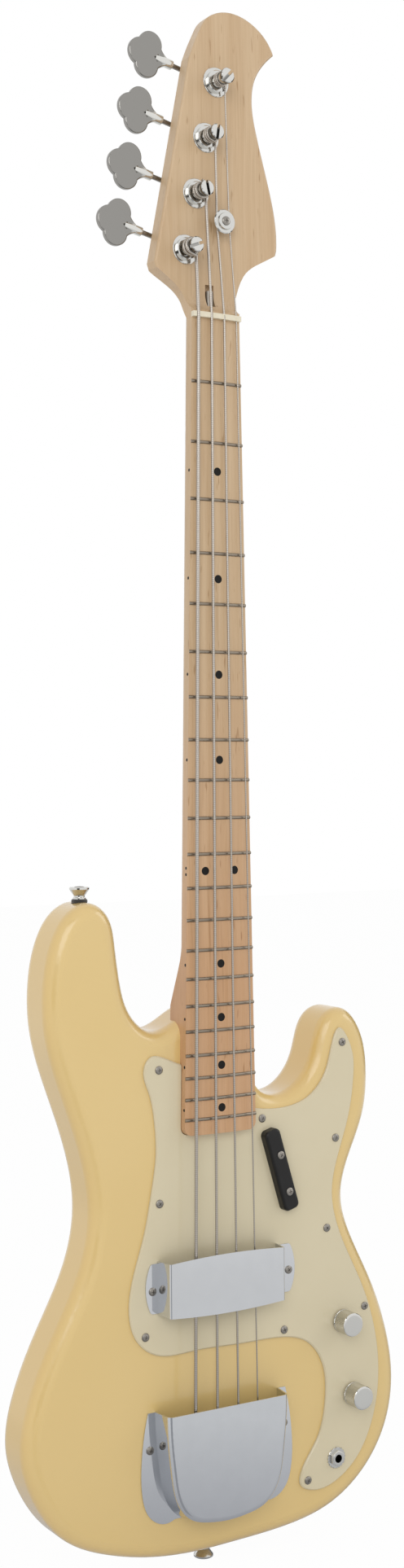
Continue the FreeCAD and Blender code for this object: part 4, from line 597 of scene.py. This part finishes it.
def tidy_mesh(piece):
    """Merge doubles, turn faces outwards and shade smooth up to an angle."""
    select_only(piece)
    bpy.ops.object.mode_set(mode="EDIT")
    bpy.ops.mesh.select_all(action="SELECT")
    bpy.ops.mesh.remove_doubles(threshold=0.001 * MM)
    bpy.ops.mesh.normals_make_consistent(inside=False)
    bpy.ops.object.mode_set(mode="OBJECT")
    bpy.ops.object.shade_smooth_by_angle(angle=math.radians(SMOOTH_DEGREES))


def turned(name, profile, steps):
    """Spin a line of (radius, height) points, in millimetres, about Z."""
    mesh = bpy.data.meshes.new(name)
    points = [Vector((radius, 0, height)) * MM for radius, height in profile]
    mesh.from_pydata(points, [(place, place + 1) for place in range(len(points) - 1)], [])
    piece = bpy.data.objects.new(name, mesh)
    bpy.context.scene.collection.objects.link(piece)
    select_only(piece)
    bpy.ops.object.mode_set(mode="EDIT")
    bpy.ops.mesh.select_all(action="SELECT")
    bpy.ops.mesh.spin(steps=steps, angle=2 * math.pi, center=(0, 0, 0), axis=(0, 0, 1))
    bpy.ops.object.mode_set(mode="OBJECT")
    tidy_mesh(piece)
    return piece


def draw_in(piece, chosen, share):
    """Scale the vertices whose place is chosen towards the Z axis."""
    select_only(piece)
    bpy.ops.object.mode_set(mode="EDIT")
    bpy.ops.mesh.select_all(action="DESELECT")
    bpy.ops.object.mode_set(mode="OBJECT")
    for vertex in piece.data.vertices:
        vertex.select = chosen(vertex.co)
    bpy.ops.object.mode_set(mode="EDIT")
    bpy.ops.transform.resize(value=(share, share, 1.0))
    bpy.ops.object.mode_set(mode="OBJECT")


def in_a_gap(place, ridges):
    """True on every second line of a piece that is spun in two steps a ridge."""
    return round(math.atan2(place.y, place.x) / math.pi * ridges) % 2 == 1


def cut_away(piece, tool):
    """Cut a tool out of a piece with a Boolean, and remove the tool."""
    select_only(piece)
    cut = piece.modifiers.new("cut", "BOOLEAN")
    cut.operation = "DIFFERENCE"
    cut.object = tool
    bpy.ops.object.modifier_apply(modifier=cut.name)
    bpy.data.objects.remove(tool)


print("lathe ready, smooth up to", SMOOTH_DEGREES, "degrees")

# %% [markdown]
# What repeats is modelled once. A copy is laid at each of its places, the copies of one node are joined, and
# the joined piece stands for that node on the body that carries it. Places and depths are read from the
# frame's parts, so that a head stays on its plate.

# %% Copying helpers
FRONT_OUT, BACK_OUT = (0, -1, 0), (0, 1, 0)


def joined(name, pieces):
    """Join pieces into one object under a name."""
    bpy.ops.object.select_all(action="DESELECT")
    for piece in pieces:
        piece.select_set(True)
    bpy.context.view_layer.objects.active = pieces[0]
    bpy.ops.object.join()
    pieces[0].name = name
    return pieces[0]


def copy_to(master, place_mm, out, turn=0.0):
    """Copy a piece with its own mesh: its origin to a place, its Z axis to a direction."""
    copy = master.copy()
    copy.data = master.data.copy()
    bpy.context.scene.collection.objects.link(copy)
    lean = Vector((0, 0, 1)).rotation_difference(Vector(out)).to_matrix().to_4x4()
    copy.data.transform(Matrix.Translation(Vector(place_mm) * MM) @ lean @ Matrix.Rotation(turn, 4, "Z"))
    return copy


def stand_for(piece, node, slot):
    """Let a piece take the place of a node, on its body and in a slot's finish."""
    piece.data.materials.clear()
    piece.data.materials.append(finishes[slot])
    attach(piece, nodes[node]["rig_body"])
    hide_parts(node)
    print(piece.name, len(piece.data.polygons), "faces in place of", node)


def discard(*masters):
    """Remove pieces that were only made to be copied."""
    for master in masters:
        bpy.data.objects.remove(master)


def front_mm(node):
    """Depth of a node's front."""
    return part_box(node)[0].y / MM


def axis_mm(node, depth_mm=0.0):
    """Point at a depth behind the middle of a node in the front view."""
    low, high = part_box(node)
    middle = (low + high) / 2 / MM
    return Vector((middle.x, depth_mm, middle.z))


def at_depth(places, y):
    """Places in the front view at one depth."""
    return [(x, y, z) for x, z in places]


body_front_mm, guard_top_mm = front_mm("body"), front_mm("pickguard")
print("body's front at", round(body_front_mm, 2), "and guard's at", round(guard_top_mm, 2), "mm")

# %% [markdown]
# Most fasteners here are cross-head screws with a domed head. The dome is turned, and the cross is cut by
# two tapered bars with a Boolean, as the factory's punch does. Each head keeps its own turn of the cross,
# because nobody stops a screwdriver at the same angle twice.

# %% Cross-head screws
HEAD_STEPS = 32
DOME_RINGS = 6
RIM_SHARE = 0.25
CROSS_REACH = 0.6
CROSS_WIDTH = 0.2
CROSS_DEPTH = 0.95
CROSS_TAPER = 0.55
TURN_STEP = 0.65


def cut_cross(head, radius_mm, top_mm):
    """Punch a tapered cross into the top of a head."""
    for turn in (0.0, math.pi / 2):
        bpy.ops.object.select_all(action="DESELECT")
        bpy.ops.mesh.primitive_cube_add(size=1.0, location=(0, 0, top_mm * MM))
        bar = bpy.context.object
        bar.scale = (2 * CROSS_REACH * radius_mm * MM, CROSS_WIDTH * radius_mm * MM, 2 * CROSS_DEPTH * MM)
        bar.rotation_euler = (0, 0, turn)
        bpy.ops.object.transform_apply()
        draw_in(bar, lambda place: place.z < top_mm * MM, CROSS_TAPER)
        cut_away(head, bar)


def cross_head_screw(radius_mm, dome_mm, shank_mm, length_mm, countersink_mm=0.0):
    """Domed screw with its seat at height 0 and its shank below."""
    rim = 0.0 if countersink_mm else RIM_SHARE
    profile = []
    for ring in range(DOME_RINGS + 1):
        angle = ring / DOME_RINGS * math.pi / 2
        profile.append((radius_mm * math.sin(angle), dome_mm * (rim + (1 - rim) * math.cos(angle))))
    profile += [(radius_mm, 0.0), (shank_mm, -countersink_mm)]
    profile += [(shank_mm, shank_mm - length_mm), (0.0, -length_mm)]
    screw = turned("screw", profile, HEAD_STEPS)
    cut_cross(screw, radius_mm, dome_mm)
    tidy_mesh(screw)
    return screw


def screw_set(name, node, slot, *rows):
    """Join rows of (screw, seats, direction) in a node's place, each cross turned on from the last."""
    pieces = []
    for screw, seats, out in rows:
        pieces += [copy_to(screw, seat, out, turn=TURN_STEP * number) for number, seat in enumerate(seats)]
    stand_for(joined(name, pieces), node, slot)


print("screws have", HEAD_STEPS, "steps round their heads")

# %% [markdown]
# The guard, the covers and the thumb rest share one small screw, and the bridge has a heavier one. A seat's
# depth is the face of the part under the head, or that face and the thickness of the plate on it.

# %% Screws in the guard, covers, thumb rest and bridge
GUARD_SCREWS_MM = [
    (-50.8, 373), (-51, 272.5), (-64, 174), (60, 161), (81.5, 39),
    (137, 168.5), (101, 235.5), (110, 306), (117, 381.5), (41, 328),
]
PICKUP_SCREWS_MM = [(-43.4, 209.5), (43.4, 209.5)]
EAR_SCREWS_MM = [(-58.2, 207.7), (63.7, 207.7)]
BRIDGE_COVER_SCREWS_MM = [(-60, 88), (60, 88)]
REST_SCREWS_MM = [(53, 299.5), (61, 270.3)]
BRIDGE_SCREWS_MM = [(17.2 * step, 96.8) for step in (-2, -1, 0, 1, 2)]
COVER_WALL_MM = 1.2
PICKUP_SEAT_MM = 7.0
BRIDGE_PLATE_MM = 2.2

guard_screw = cross_head_screw(radius_mm=3.2, dome_mm=1.3, shank_mm=1.5, length_mm=13.0)
guard_seats = at_depth(GUARD_SCREWS_MM, guard_top_mm)
guard_seats += at_depth(PICKUP_SCREWS_MM, body_front_mm + PICKUP_SEAT_MM)
screw_set("guard_screw_set", "guard_and_pickup_screws", "steel", (guard_screw, guard_seats, FRONT_OUT))

cover_seats = at_depth(EAR_SCREWS_MM, guard_top_mm - COVER_WALL_MM)
cover_seats += at_depth(BRIDGE_COVER_SCREWS_MM, body_front_mm - COVER_WALL_MM)
cover_seats += at_depth(REST_SCREWS_MM, front_mm("thumb_rest"))
screw_set("cover_screw_set", "cover_and_rest_screws", "steel", (guard_screw, cover_seats, FRONT_OUT))

bridge_screw = cross_head_screw(radius_mm=3.6, dome_mm=1.3, shank_mm=1.7, length_mm=22.0)
bridge_seats = at_depth(BRIDGE_SCREWS_MM, body_front_mm - BRIDGE_PLATE_MM)
screw_set("bridge_screw_set", "bridge_screws", "steel", (bridge_screw, bridge_seats, FRONT_OUT))
discard(guard_screw, bridge_screw)

# %% [markdown]
# Behind the headstock each tuner's plate is held by four small screws, set square to the row of tuners,
# which leans by twelve degrees. Their places follow from the post they surround.

# %% Screws of the tuners
TUNERS = ("e", "a", "d", "g")
TUNER_TILT = math.radians(12.0)
TUNER_SCREW_ACROSS_MM = 9.5
TUNER_SCREW_UP_MM = (14.5, -10.0)
OUTWARD = Vector((-math.cos(TUNER_TILT), 0, math.sin(TUNER_TILT)))
UP_HEAD = Vector((math.sin(TUNER_TILT), 0, math.cos(TUNER_TILT)))
PLATE_BACK_MM = -6.25

tuner_seats = []
for name in TUNERS:
    post = axis_mm("post_" + name, PLATE_BACK_MM)
    for side in (-1, 1):
        for up in TUNER_SCREW_UP_MM:
            tuner_seats.append(post + OUTWARD * (side * TUNER_SCREW_ACROSS_MM) + UP_HEAD * up)
tuner_screw = cross_head_screw(radius_mm=2.6, dome_mm=1.3, shank_mm=1.2, length_mm=9.0)
screw_set("tuner_screw_set", "tuner_screws", "nickel", (tuner_screw, tuner_seats, BACK_OUT))
discard(tuner_screw)

# %% [markdown]
# A tuner's key is cast with its socket and plated. The broad leaf is satin, and is coloured a darker grey as
# a painted reflection of grey surroundings in its flat faces, while the socket keeps the bright nickel
# colour.
# All keys stand out from one line of posts, so the distance from that line tells leaf from socket, and so
# does the socket's greater thickness.

# %% Tuner keys
LEAF_START_MM = 36.0
LEAF_HALF_MM = 2.1
LEAF_EDGE_MM = (0.3, 0.1)
PLATE_FADE_MM = 3.0


def key_plate_with_painted_reflection(row_mm, middle):
    """Nickel plate, bright on the socket, satin with a painted grey reflection on the leaf, whose middle is
    at a depth in metres.
    """
    material, tree = blank_material("nickel key plate with painted reflection")
    place = add(tree, "TexCoord").outputs["Object"]
    outward = add(tree, "VectorMath", {0: place, 1: OUTWARD}, operation="DOT_PRODUCT")
    start_mm = row_mm + LEAF_START_MM
    past_socket = add(tree, "MapRange", {
        "Value": outward, "From Min": start_mm * MM, "From Max": (start_mm + PLATE_FADE_MM) * MM,
    })
    depth = add(tree, "SeparateXYZ", {0: place}).outputs["Y"]
    off_middle = add(tree, "Math", {0: depth, 1: middle}, operation="SUBTRACT")
    thickness = add(tree, "Math", {0: off_middle}, operation="ABSOLUTE")
    clear, full = [(LEAF_HALF_MM + edge) * MM for edge in LEAF_EDGE_MM]
    within_leaf = add(tree, "MapRange", {"Value": thickness, "From Min": clear, "From Max": full})
    leaf = add(tree, "Math", {0: past_socket, 1: within_leaf}, operation="MULTIPLY")
    smear = handling_smears(tree, place, 14, 0.06, 0.12)[1]
    gloss = add(tree, "Math", {0: leaf, 1: 0.12, 2: smear}, operation="MULTIPLY_ADD")
    grit = add(tree, "TexNoise", {"Vector": place, "Scale": per_metre(0.4), "Detail": 2.0})
    # Painted reflection: the flat leaf is coloured darker grey as if it mirrored grey surroundings.
    close_two_tone(tree, leaf, "#DCDBD6", "#95938F", grit, 0.04, 0.05, {"Metallic": 1.0, "Roughness": gloss})
    return material


post_rows_mm = [axis_mm("post_" + name).dot(OUTWARD) for name in TUNERS]
key_low, key_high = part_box("key_e")
key_plate = key_plate_with_painted_reflection(sum(post_rows_mm) / len(post_rows_mm), (key_low.y + key_high.y) / 2)
for name in TUNERS:
    nodes["key_" + name].material_slots[0].material = key_plate
print("posts lie", [round(row, 1) for row in post_rows_mm], "mm out; four keys dressed")

# %% [markdown]
# The string posts are nickel too, polished on top. The slot that takes the string's end and the groove below
# the head are coloured dark, a painted shade in these hollows. All posts are equally tall, so the depth
# below their tops tells where.

# %% String posts
GROOVE_TOP_MM = 0.4
GROOVE_FOOT_MM = 5.6
GROOVE_FADE_MM = 1.0


def post_plate_with_painted_shade(top_mm):
    """Nickel plate with painted shade in its slots and grooves, for posts whose tops are at a depth."""
    material, tree = blank_material("nickel plate with painted shade in slots")
    place = add(tree, "TexCoord").outputs["Object"]
    depth = add(tree, "SeparateXYZ", {0: place}).outputs["Y"]
    shade_start_mm, foot_mm = top_mm + GROOVE_TOP_MM, top_mm + GROOVE_FOOT_MM
    below_top = add(tree, "MapRange", {
        "Value": depth, "From Min": shade_start_mm * MM, "From Max": (shade_start_mm + GROOVE_TOP_MM) * MM, "To Max": 0.85,
    })
    above_foot = add(tree, "MapRange", {
        "Value": depth, "From Min": foot_mm * MM, "From Max": (foot_mm - GROOVE_FADE_MM) * MM,
    })
    # Painted shade: the slot and the groove below the head are coloured dark.
    dark = add(tree, "Math", {0: below_top, 1: above_foot}, operation="MULTIPLY")
    colour = add(tree, "Mix", {MIX_FACTOR: dark, MIX_A: "#D8D7D3", MIX_B: "#504D49"}, data_type="RGBA")
    gloss = handling_smears(tree, place, 9, 0.08, 0.18)[1]
    close_material(tree, {"Base Color": colour, "Metallic": 1.0, "Roughness": gloss})
    return material


post_plate = post_plate_with_painted_shade(front_mm("post_e"))
for name in TUNERS:
    nodes["post_" + name].material_slots[0].material = post_plate
print("four posts dressed with", post_plate.name)

# %% [markdown]
# On the back, four large bolts draw the neck into its pocket through a plate. A smaller screw holds each
# strap button, and one more the string tree on the front of the head.

# %% Neck bolts, strap screws and tree screw
NECK_PLATE_Z_MM = 355.0
BOLT_SIDE_MM, BOLT_END_MM = 19.0, 25.5
STRAP_TOP_MM = 11.6
UPPER_BUTTON_MM = Vector((-104.0, 0, 500.0))
UP, DOWN = Vector((0, 0, 1)), Vector((0, 0, -1))

plate_face_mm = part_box("neck_plate")[1].y / MM
bolt_seats = []
for side in (-BOLT_SIDE_MM, BOLT_SIDE_MM):
    for end in (-BOLT_END_MM, BOLT_END_MM):
        bolt_seats.append((side, plate_face_mm, NECK_PLATE_Z_MM + end))
neck_bolt = cross_head_screw(radius_mm=4.8, dome_mm=0.9, shank_mm=2.4, length_mm=44.0, countersink_mm=2.0)
screw_set("neck_bolt_set", "neck_bolts", "steel", (neck_bolt, bolt_seats, BACK_OUT))

tree_top_mm = axis_mm("string_tree", front_mm("string_tree"))
strap_screw = cross_head_screw(radius_mm=3.8, dome_mm=0.5, shank_mm=1.9, length_mm=23.0, countersink_mm=1.9)
tree_screw = cross_head_screw(radius_mm=3.5, dome_mm=1.3, shank_mm=1.4, length_mm=21.0)
screw_set(
    "strap_and_tree_screw_set", "strap_and_tree_screws", "steel",
    (strap_screw, [DOWN * STRAP_TOP_MM], DOWN),
    (strap_screw, [UPPER_BUTTON_MM + UP * STRAP_TOP_MM], UP),
    (tree_screw, [tree_top_mm], FRONT_OUT),
)
discard(neck_bolt, strap_screw, tree_screw)

# %% [markdown]
# The two control knobs are turned bars with straight knurling, so that wet fingers hold them. The profile
# is spun with twice as many steps as ridges, and every second line of vertices between the plain rims is
# drawn in towards the axis. A bump map would look the same from the front, but leave the outline smooth.

# %% Knurled knobs
KNOB_RIDGES = 64
KNURL_DEPTH = 0.955
KNURL_MARGIN_MM = 1.4
KNOB_RADIUS_MM = 9.3
KNOB_HEIGHT_MM = 15.0
KNOB_SMOOTH_DEGREES = 20.0


def knurled_knob(name, radius, height):
    """Flat-topped knob, hollow below, standing on Z = 0."""
    profile = [
        (0, height), (radius - 2.2, height), (radius - 1.0, height - 0.06), (radius - 0.4, height - 0.25),
        (radius - 0.1, height - 0.6), (radius, height - 1.0), (radius, height - 1.3), (radius, height - 1.5),
        (radius, 1.5), (radius, 1.3), (radius, 0.5), (radius - 0.4, 0), (radius - 2.0, 0),
        (radius - 2.0, 4.2), (5.3, 4.2), (5.3, 5.2), (3.02, 5.2), (3.02, 11.8), (0, 11.8),
    ]

    def on_side_gap(place):
        between_rims = KNURL_MARGIN_MM < place.z / MM < height - KNURL_MARGIN_MM
        return between_rims and place.xy.length / MM > radius - 0.05 and in_a_gap(place, KNOB_RIDGES)

    knob = turned(name, profile, 2 * KNOB_RIDGES)
    draw_in(knob, on_side_gap, KNURL_DEPTH)
    bpy.ops.object.shade_smooth_by_angle(angle=math.radians(KNOB_SMOOTH_DEGREES))
    return knob


knob = knurled_knob("knob", KNOB_RADIUS_MM, KNOB_HEIGHT_MM)
for control in ("volume_knob", "tone_knob"):
    placed = copy_to(knob, axis_mm(control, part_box(control)[1].y / MM), FRONT_OUT)
    placed.name = "knurled_" + control
    stand_for(placed, control, "nickel")
discard(knob)

# %% [markdown]
# Under each knob, and round the jack, a washer and a six-sided nut clamp the bushing to the guard. A nut is
# a six-sided cylinder with bevelled edges and a bore cut by a Boolean. The jack has a toothed lock washer,
# which is turned, and every second vertex of its rim drawn in.

# %% Nuts and washers of the controls
NUT_BORE_MM = 4.7
NUT_BEVEL_MM = 0.35
WASHER_EDGE_MM = 0.2
WASHER_TEETH = 20
TOOTH_REACH_MM = 0.5
TOOTH_DEPTH = 0.9
POT_RING_MM, JACK_RING_MM = 0.8, 0.9
VOLUME_MM, TONE_MM, JACK_MM = (115.0, 160.0), (124.5, 100.5), (108.5, 52.0)


def six_sided_nut(radius_mm, height_mm):
    """Bevelled nut standing on Z = 0."""
    bpy.ops.object.select_all(action="DESELECT")
    bpy.ops.mesh.primitive_cylinder_add(
        vertices=6, radius=radius_mm * MM, depth=height_mm * MM, location=(0, 0, height_mm / 2 * MM),
    )
    nut = bpy.context.object
    bpy.ops.object.transform_apply()
    edge = nut.modifiers.new("edge", "BEVEL")
    edge.width = NUT_BEVEL_MM * MM
    edge.segments = 2
    bpy.ops.object.modifier_apply(modifier=edge.name)
    bpy.ops.mesh.primitive_cylinder_add(vertices=32, radius=NUT_BORE_MM * MM, depth=4 * height_mm * MM)
    cut_away(nut, bpy.context.object)
    tidy_mesh(nut)
    return nut


def washer(radius_mm, height_mm):
    """Flat washer on Z = 0."""
    section = [
        (NUT_BORE_MM, 0), (radius_mm, 0), (radius_mm, height_mm - WASHER_EDGE_MM),
        (radius_mm - WASHER_EDGE_MM, height_mm), (NUT_BORE_MM, height_mm), (NUT_BORE_MM, 0),
    ]
    return turned("washer", section, 2 * WASHER_TEETH)


def lock_washer(radius_mm, height_mm):
    """Washer with teeth round its rim."""
    ring = washer(radius_mm, height_mm)
    rim = (radius_mm - TOOTH_REACH_MM) * MM
    draw_in(ring, lambda place: place.xy.length > rim and in_a_gap(place, WASHER_TEETH), TOOTH_DEPTH)
    return ring


pot_nut = six_sided_nut(radius_mm=6.4, height_mm=2.2)
jack_nut = six_sided_nut(radius_mm=6.6, height_mm=2.4)
pot_washer = washer(7.6, POT_RING_MM)
jack_washer = lock_washer(8.6, JACK_RING_MM)
nut_pieces = []
for (x, z), nut, ring, ring_mm in (
    (VOLUME_MM, pot_nut, pot_washer, POT_RING_MM),
    (TONE_MM, pot_nut, pot_washer, POT_RING_MM),
    (JACK_MM, jack_nut, jack_washer, JACK_RING_MM),
):
    nut_pieces.append(copy_to(ring, (x, guard_top_mm, z), FRONT_OUT))
    nut_pieces.append(copy_to(nut, (x, guard_top_mm - ring_mm, z), FRONT_OUT))
stand_for(joined("control_nut_set", nut_pieces), "control_nuts", "nickel")
discard(pot_nut, jack_nut, pot_washer, jack_washer)

# %% [markdown]
# Strings, springs and leads are all round wire. A NURBS curve of order three follows a short list of control
# points and rounds every corner, and a round bevel gives it thickness and a UV map. The map's first axis
# counts rings evenly, so it is measured again in metres: the wrap then keeps its spacing in bends.

# %% Wire helpers
WIRE_RINGS = 6
UV_DIGITS = 5


def measure_along(mesh):
    """Turn the UV map's first axis, an even count of rings, into the length along the wire in metres."""
    flat = mesh.uv_layers.active.data
    sides = [corner for face in mesh.polygons if face.loop_total == 4 for corner in face.loop_indices]
    rings = {}
    for corner in sides:
        ring = rings.setdefault(round(flat[corner].uv.x, UV_DIGITS), [])
        ring.append(mesh.vertices[mesh.loops[corner].vertex_index].co)
    reach, last, lengths = 0.0, None, {}
    for share in sorted(rings):
        centre = sum(rings[share], Vector()) / len(rings[share])
        reach += (centre - last).length if last else 0.0
        lengths[share], last = reach, centre
    for corner in sides:
        flat[corner].uv.x = lengths[round(flat[corner].uv.x, UV_DIGITS)]
    print(mesh.name, "is", round(reach, 3), "m long")


def wire_piece(name, points_mm, radius_mm, sides):
    """Round wire along a NURBS curve through control points, as a mesh with its UV map."""
    curve = bpy.data.curves.new(name, "CURVE")
    curve.dimensions = "3D"
    curve.resolution_u = WIRE_RINGS
    curve.bevel_depth = radius_mm * MM
    curve.bevel_resolution = sides
    curve.use_fill_caps = True
    spline = curve.splines.new("NURBS")
    spline.points.add(len(points_mm) - 1)
    for point, place in zip(spline.points, points_mm):
        point.co = (*(Vector(place) * MM), 1.0)
    spline.order_u = 3
    spline.use_endpoint_u = True
    piece = bpy.data.objects.new(name, curve)
    bpy.context.scene.collection.objects.link(piece)
    select_only(piece)
    bpy.ops.object.convert(target="MESH")
    piece = bpy.context.object
    bpy.ops.object.shade_smooth()
    measure_along(piece.data)
    return piece


print("wire helpers ready,", WIRE_RINGS, "rings between two points")

# %% [markdown]
# A string is one long wire with real bends: out of the bridge, over its saddle, over the nut, under the
# string tree for the two thin ones, and in turns up its post. Points close to a bend keep the long run
# straight. The turns come from a formula, and start where the string's line touches the winding.

# %% Routes of the strings
STRING_RADII_MM = {"e": 1.33, "a": 1.05, "d": 0.83, "g": 0.57}
WINDING_TURNS = {"e": 1.75, "a": 2.25, "d": 2.75, "g": 3.25}
WINDING_GAPS_MM = {"e": 1.4, "a": 1.0, "d": 0.8, "g": 0.7}
UNDER_TREE = ("d", "g")
NUT_SPREAD_MM = 34.0
SADDLE_SPREAD_MM = 57.0
SADDLE_Z_MM = 77.0
SADDLE_HEIGHT_MM = 15.0
BOARD_RADIUS_MM = 241.0
NUT_ACTION_MM = 1.4
ANCHOR_HEIGHT_MM = 5.2
ANCHOR_RUN_MM = 4.0
COIL_RADIUS_MM = 4.55
COIL_STEP = math.pi / 8
COIL_FOOT_MM = 4.4
HEAD_DROP_MM = 10.0
BEND_REACH_MM = 7.0
TREE_DROP_MM = 5.7
END_RADII = 3

board_mm = front_mm("neck")
head_front_mm = board_mm + HEAD_DROP_MM
nut_z_mm = axis_mm("nut").z
anchor_z_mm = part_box("bridge_plate")[0].z / MM


def camber(x):
    """How far the rounded fingerboard falls away at x."""
    return BOARD_RADIUS_MM - math.sqrt(BOARD_RADIUS_MM ** 2 - x ** 2)


def across(index, spread_mm):
    """Place of one of the strings in their spread."""
    return spread_mm * (index / (len(TUNERS) - 1) - 0.5)


def bend(corner, before, after):
    """Control points that keep both runs straight up to a corner."""
    return [
        corner + (before - corner).normalized() * BEND_REACH_MM, corner,
        corner + (after - corner).normalized() * BEND_REACH_MM,
    ]


def string_points(index, name):
    """Control points of one string, from the bridge to the end of its turns."""
    radius = STRING_RADII_MM[name]
    saddle_x, nut_x = across(index, SADDLE_SPREAD_MM), across(index, NUT_SPREAD_MM)
    anchor = Vector((saddle_x, body_front_mm - ANCHOR_HEIGHT_MM, anchor_z_mm))
    saddle = Vector((saddle_x, body_front_mm - SADDLE_HEIGHT_MM + camber(saddle_x) - radius, SADDLE_Z_MM))
    nut = Vector((nut_x, board_mm + camber(nut_x) - NUT_ACTION_MM - radius, nut_z_mm))
    post = axis_mm("post_" + name)
    coil = COIL_RADIUS_MM + radius
    foot = head_front_mm - COIL_FOOT_MM - radius
    away = Vector((post.x - nut.x, post.z - nut.z))
    heading = math.atan2(away.y, away.x) - math.asin(coil / away.length)
    reach = math.sqrt(away.length ** 2 - coil ** 2)
    touch = Vector((nut.x + reach * math.cos(heading), foot, nut.z + reach * math.sin(heading)))
    points = [anchor, anchor + Vector((0, 0, ANCHOR_RUN_MM))]
    points += bend(saddle, points[-1], nut)
    if name in UNDER_TREE:
        under = nut.lerp(touch, (tree_top_mm.z - nut.z) / (touch.z - nut.z))
        under.y = head_front_mm - TREE_DROP_MM + radius
        points += bend(nut, saddle, under) + bend(under, nut, touch)
    else:
        points += bend(nut, saddle, touch)
    pitch = 2 * radius + WINDING_GAPS_MM[name]
    wide = coil / math.cos(COIL_STEP / 2)
    inbound = (touch - points[-1]).normalized()
    points.append(touch - inbound * (coil * math.tan(COIL_STEP / 2)))
    for step in range(round(WINDING_TURNS[name] * 2 * math.pi / COIL_STEP)):
        wound = (step + 0.5) * COIL_STEP
        turn = heading - math.pi / 2 + wound
        climb = pitch * wound / (2 * math.pi)
        points.append(Vector((post.x + wide * math.cos(turn), foot - climb, post.z + wide * math.sin(turn))))
    points.append(points[-1] + (points[-1] - points[-2]).normalized() * END_RADII * radius)
    return points


print("nut at", round(nut_z_mm, 1), "mm, string anchors at", round(anchor_z_mm, 1), "mm")

# %% [markdown]
# Each string starts in a small turned ball, which the bridge holds back. The wire and its ball are joined,
# because they are one part in the frame.

# %% Strings
BALL_MM = [
    (0, -4.6), (2.4, -4.6), (2.9, -4.1), (2.9, -3.4), (2.2, -3.0), (2.2, -1.6), (2.9, -1.2), (2.9, -0.5),
    (2.4, 0), (0, 0),
]
BALL_STEPS = 24

ball_end = turned("ball", BALL_MM, BALL_STEPS)
for index, name in enumerate(TUNERS):
    points = string_points(index, name)
    wire = wire_piece("wound_string_" + name, points, STRING_RADII_MM[name], 3)
    string = joined("wound_string_" + name, [wire, copy_to(ball_end, points[0], UP)])
    stand_for(string, "string_" + name, "string_wire")
discard(ball_end)

# %% [markdown]
# Each saddle is pushed forward by a small compression spring on its length screw. A spring is a helix, so
# its control points come from a loop. The leads in the cavity are limp, and lie in wide bends.

# %% Springs and leads
SPRING_TURNS = 4
SPRING_RADIUS_MM = 2.0
SPRING_WIRE_MM = 0.4
SPRING_SIDE_MM = 4.2
SPRING_HEIGHT_MM = 9.5
SPRING_LOW_MM, SPRING_HIGH_MM = 50.6, 72.0
LEAD_RADIUS_MM = 1.0
LEAD_DEPTH_MM = 5.0
LEADS_MM = [
    [(39.4, 214.5), (63.4, 215.5), (99, 214.5), (112, 205.5), (114, 182.4), (115, 172.4)],
    [(116, 147.6), (116, 140.6), (121, 127.9), (124.5, 119.9), (124.5, 112.9)],
    [(123.5, 88.1), (122.5, 81.1), (113.5, 69.4), (109.5, 60.4)],
]

spring_pieces = []
spring_y = body_front_mm - SPRING_HEIGHT_MM
wide = SPRING_RADIUS_MM / math.cos(COIL_STEP / 2)
steps = round(SPRING_TURNS * 2 * math.pi / COIL_STEP)
for index in range(len(TUNERS)):
    saddle_x = across(index, SADDLE_SPREAD_MM)
    x = saddle_x + math.copysign(SPRING_SIDE_MM, saddle_x)
    helix = []
    for step in range(steps + 1):
        turn = step * COIL_STEP
        rise = SPRING_LOW_MM + (SPRING_HIGH_MM - SPRING_LOW_MM) * step / steps
        helix.append((x + wide * math.cos(turn), spring_y + wide * math.sin(turn), rise))
    spring_pieces.append(wire_piece("spring", helix, SPRING_WIRE_MM, 2))
stand_for(joined("saddle_spring_set", spring_pieces), "intonation_springs", "steel")

lead_y = body_front_mm + LEAD_DEPTH_MM
lead_pieces = [wire_piece("lead", at_depth(route, lead_y), LEAD_RADIUS_MM, 3) for route in LEADS_MM]
stand_for(joined("cloth_lead_set", lead_pieces), "wiring", "wire_cloth")

# %% [markdown]
# A felt washer sits under each strap button, so that the metal doesn't bite into the lacquer. It is turned
# with round edges, divided finely, and roughened by a noise displacement, because felt has no crisp rim.

# %% Felt washers
FELT_MM = [
    (1.9, -0.8), (5.5, -0.8), (6.0, -0.3), (6.1, 0.5), (6.1, 1.3), (5.9, 2.2), (5.4, 2.6), (1.9, 2.6),
    (1.9, -0.8),
]
FELT_STEPS = 64
FUZZ_MM = 0.18
FUZZ_SIZE_MM = 1.2

fuzz = bpy.data.textures.new("felt fuzz", "CLOUDS")
fuzz.noise_scale = FUZZ_SIZE_MM * MM
felt = turned("felt", FELT_MM, FELT_STEPS)
select_only(felt)
finer = felt.modifiers.new("finer", "SUBSURF")
finer.levels = 1
finer.render_levels = 1
rough = felt.modifiers.new("fuzz", "DISPLACE")
rough.texture = fuzz
rough.strength = FUZZ_MM * MM
for modifier in (finer, rough):
    bpy.ops.object.modifier_apply(modifier=modifier.name)
felt_pieces = [copy_to(felt, (0, 0, 0), DOWN), copy_to(felt, UPPER_BUTTON_MM, UP)]
stand_for(joined("felt_washer_set", felt_pieces), "strap_washers", "felt")
discard(felt)
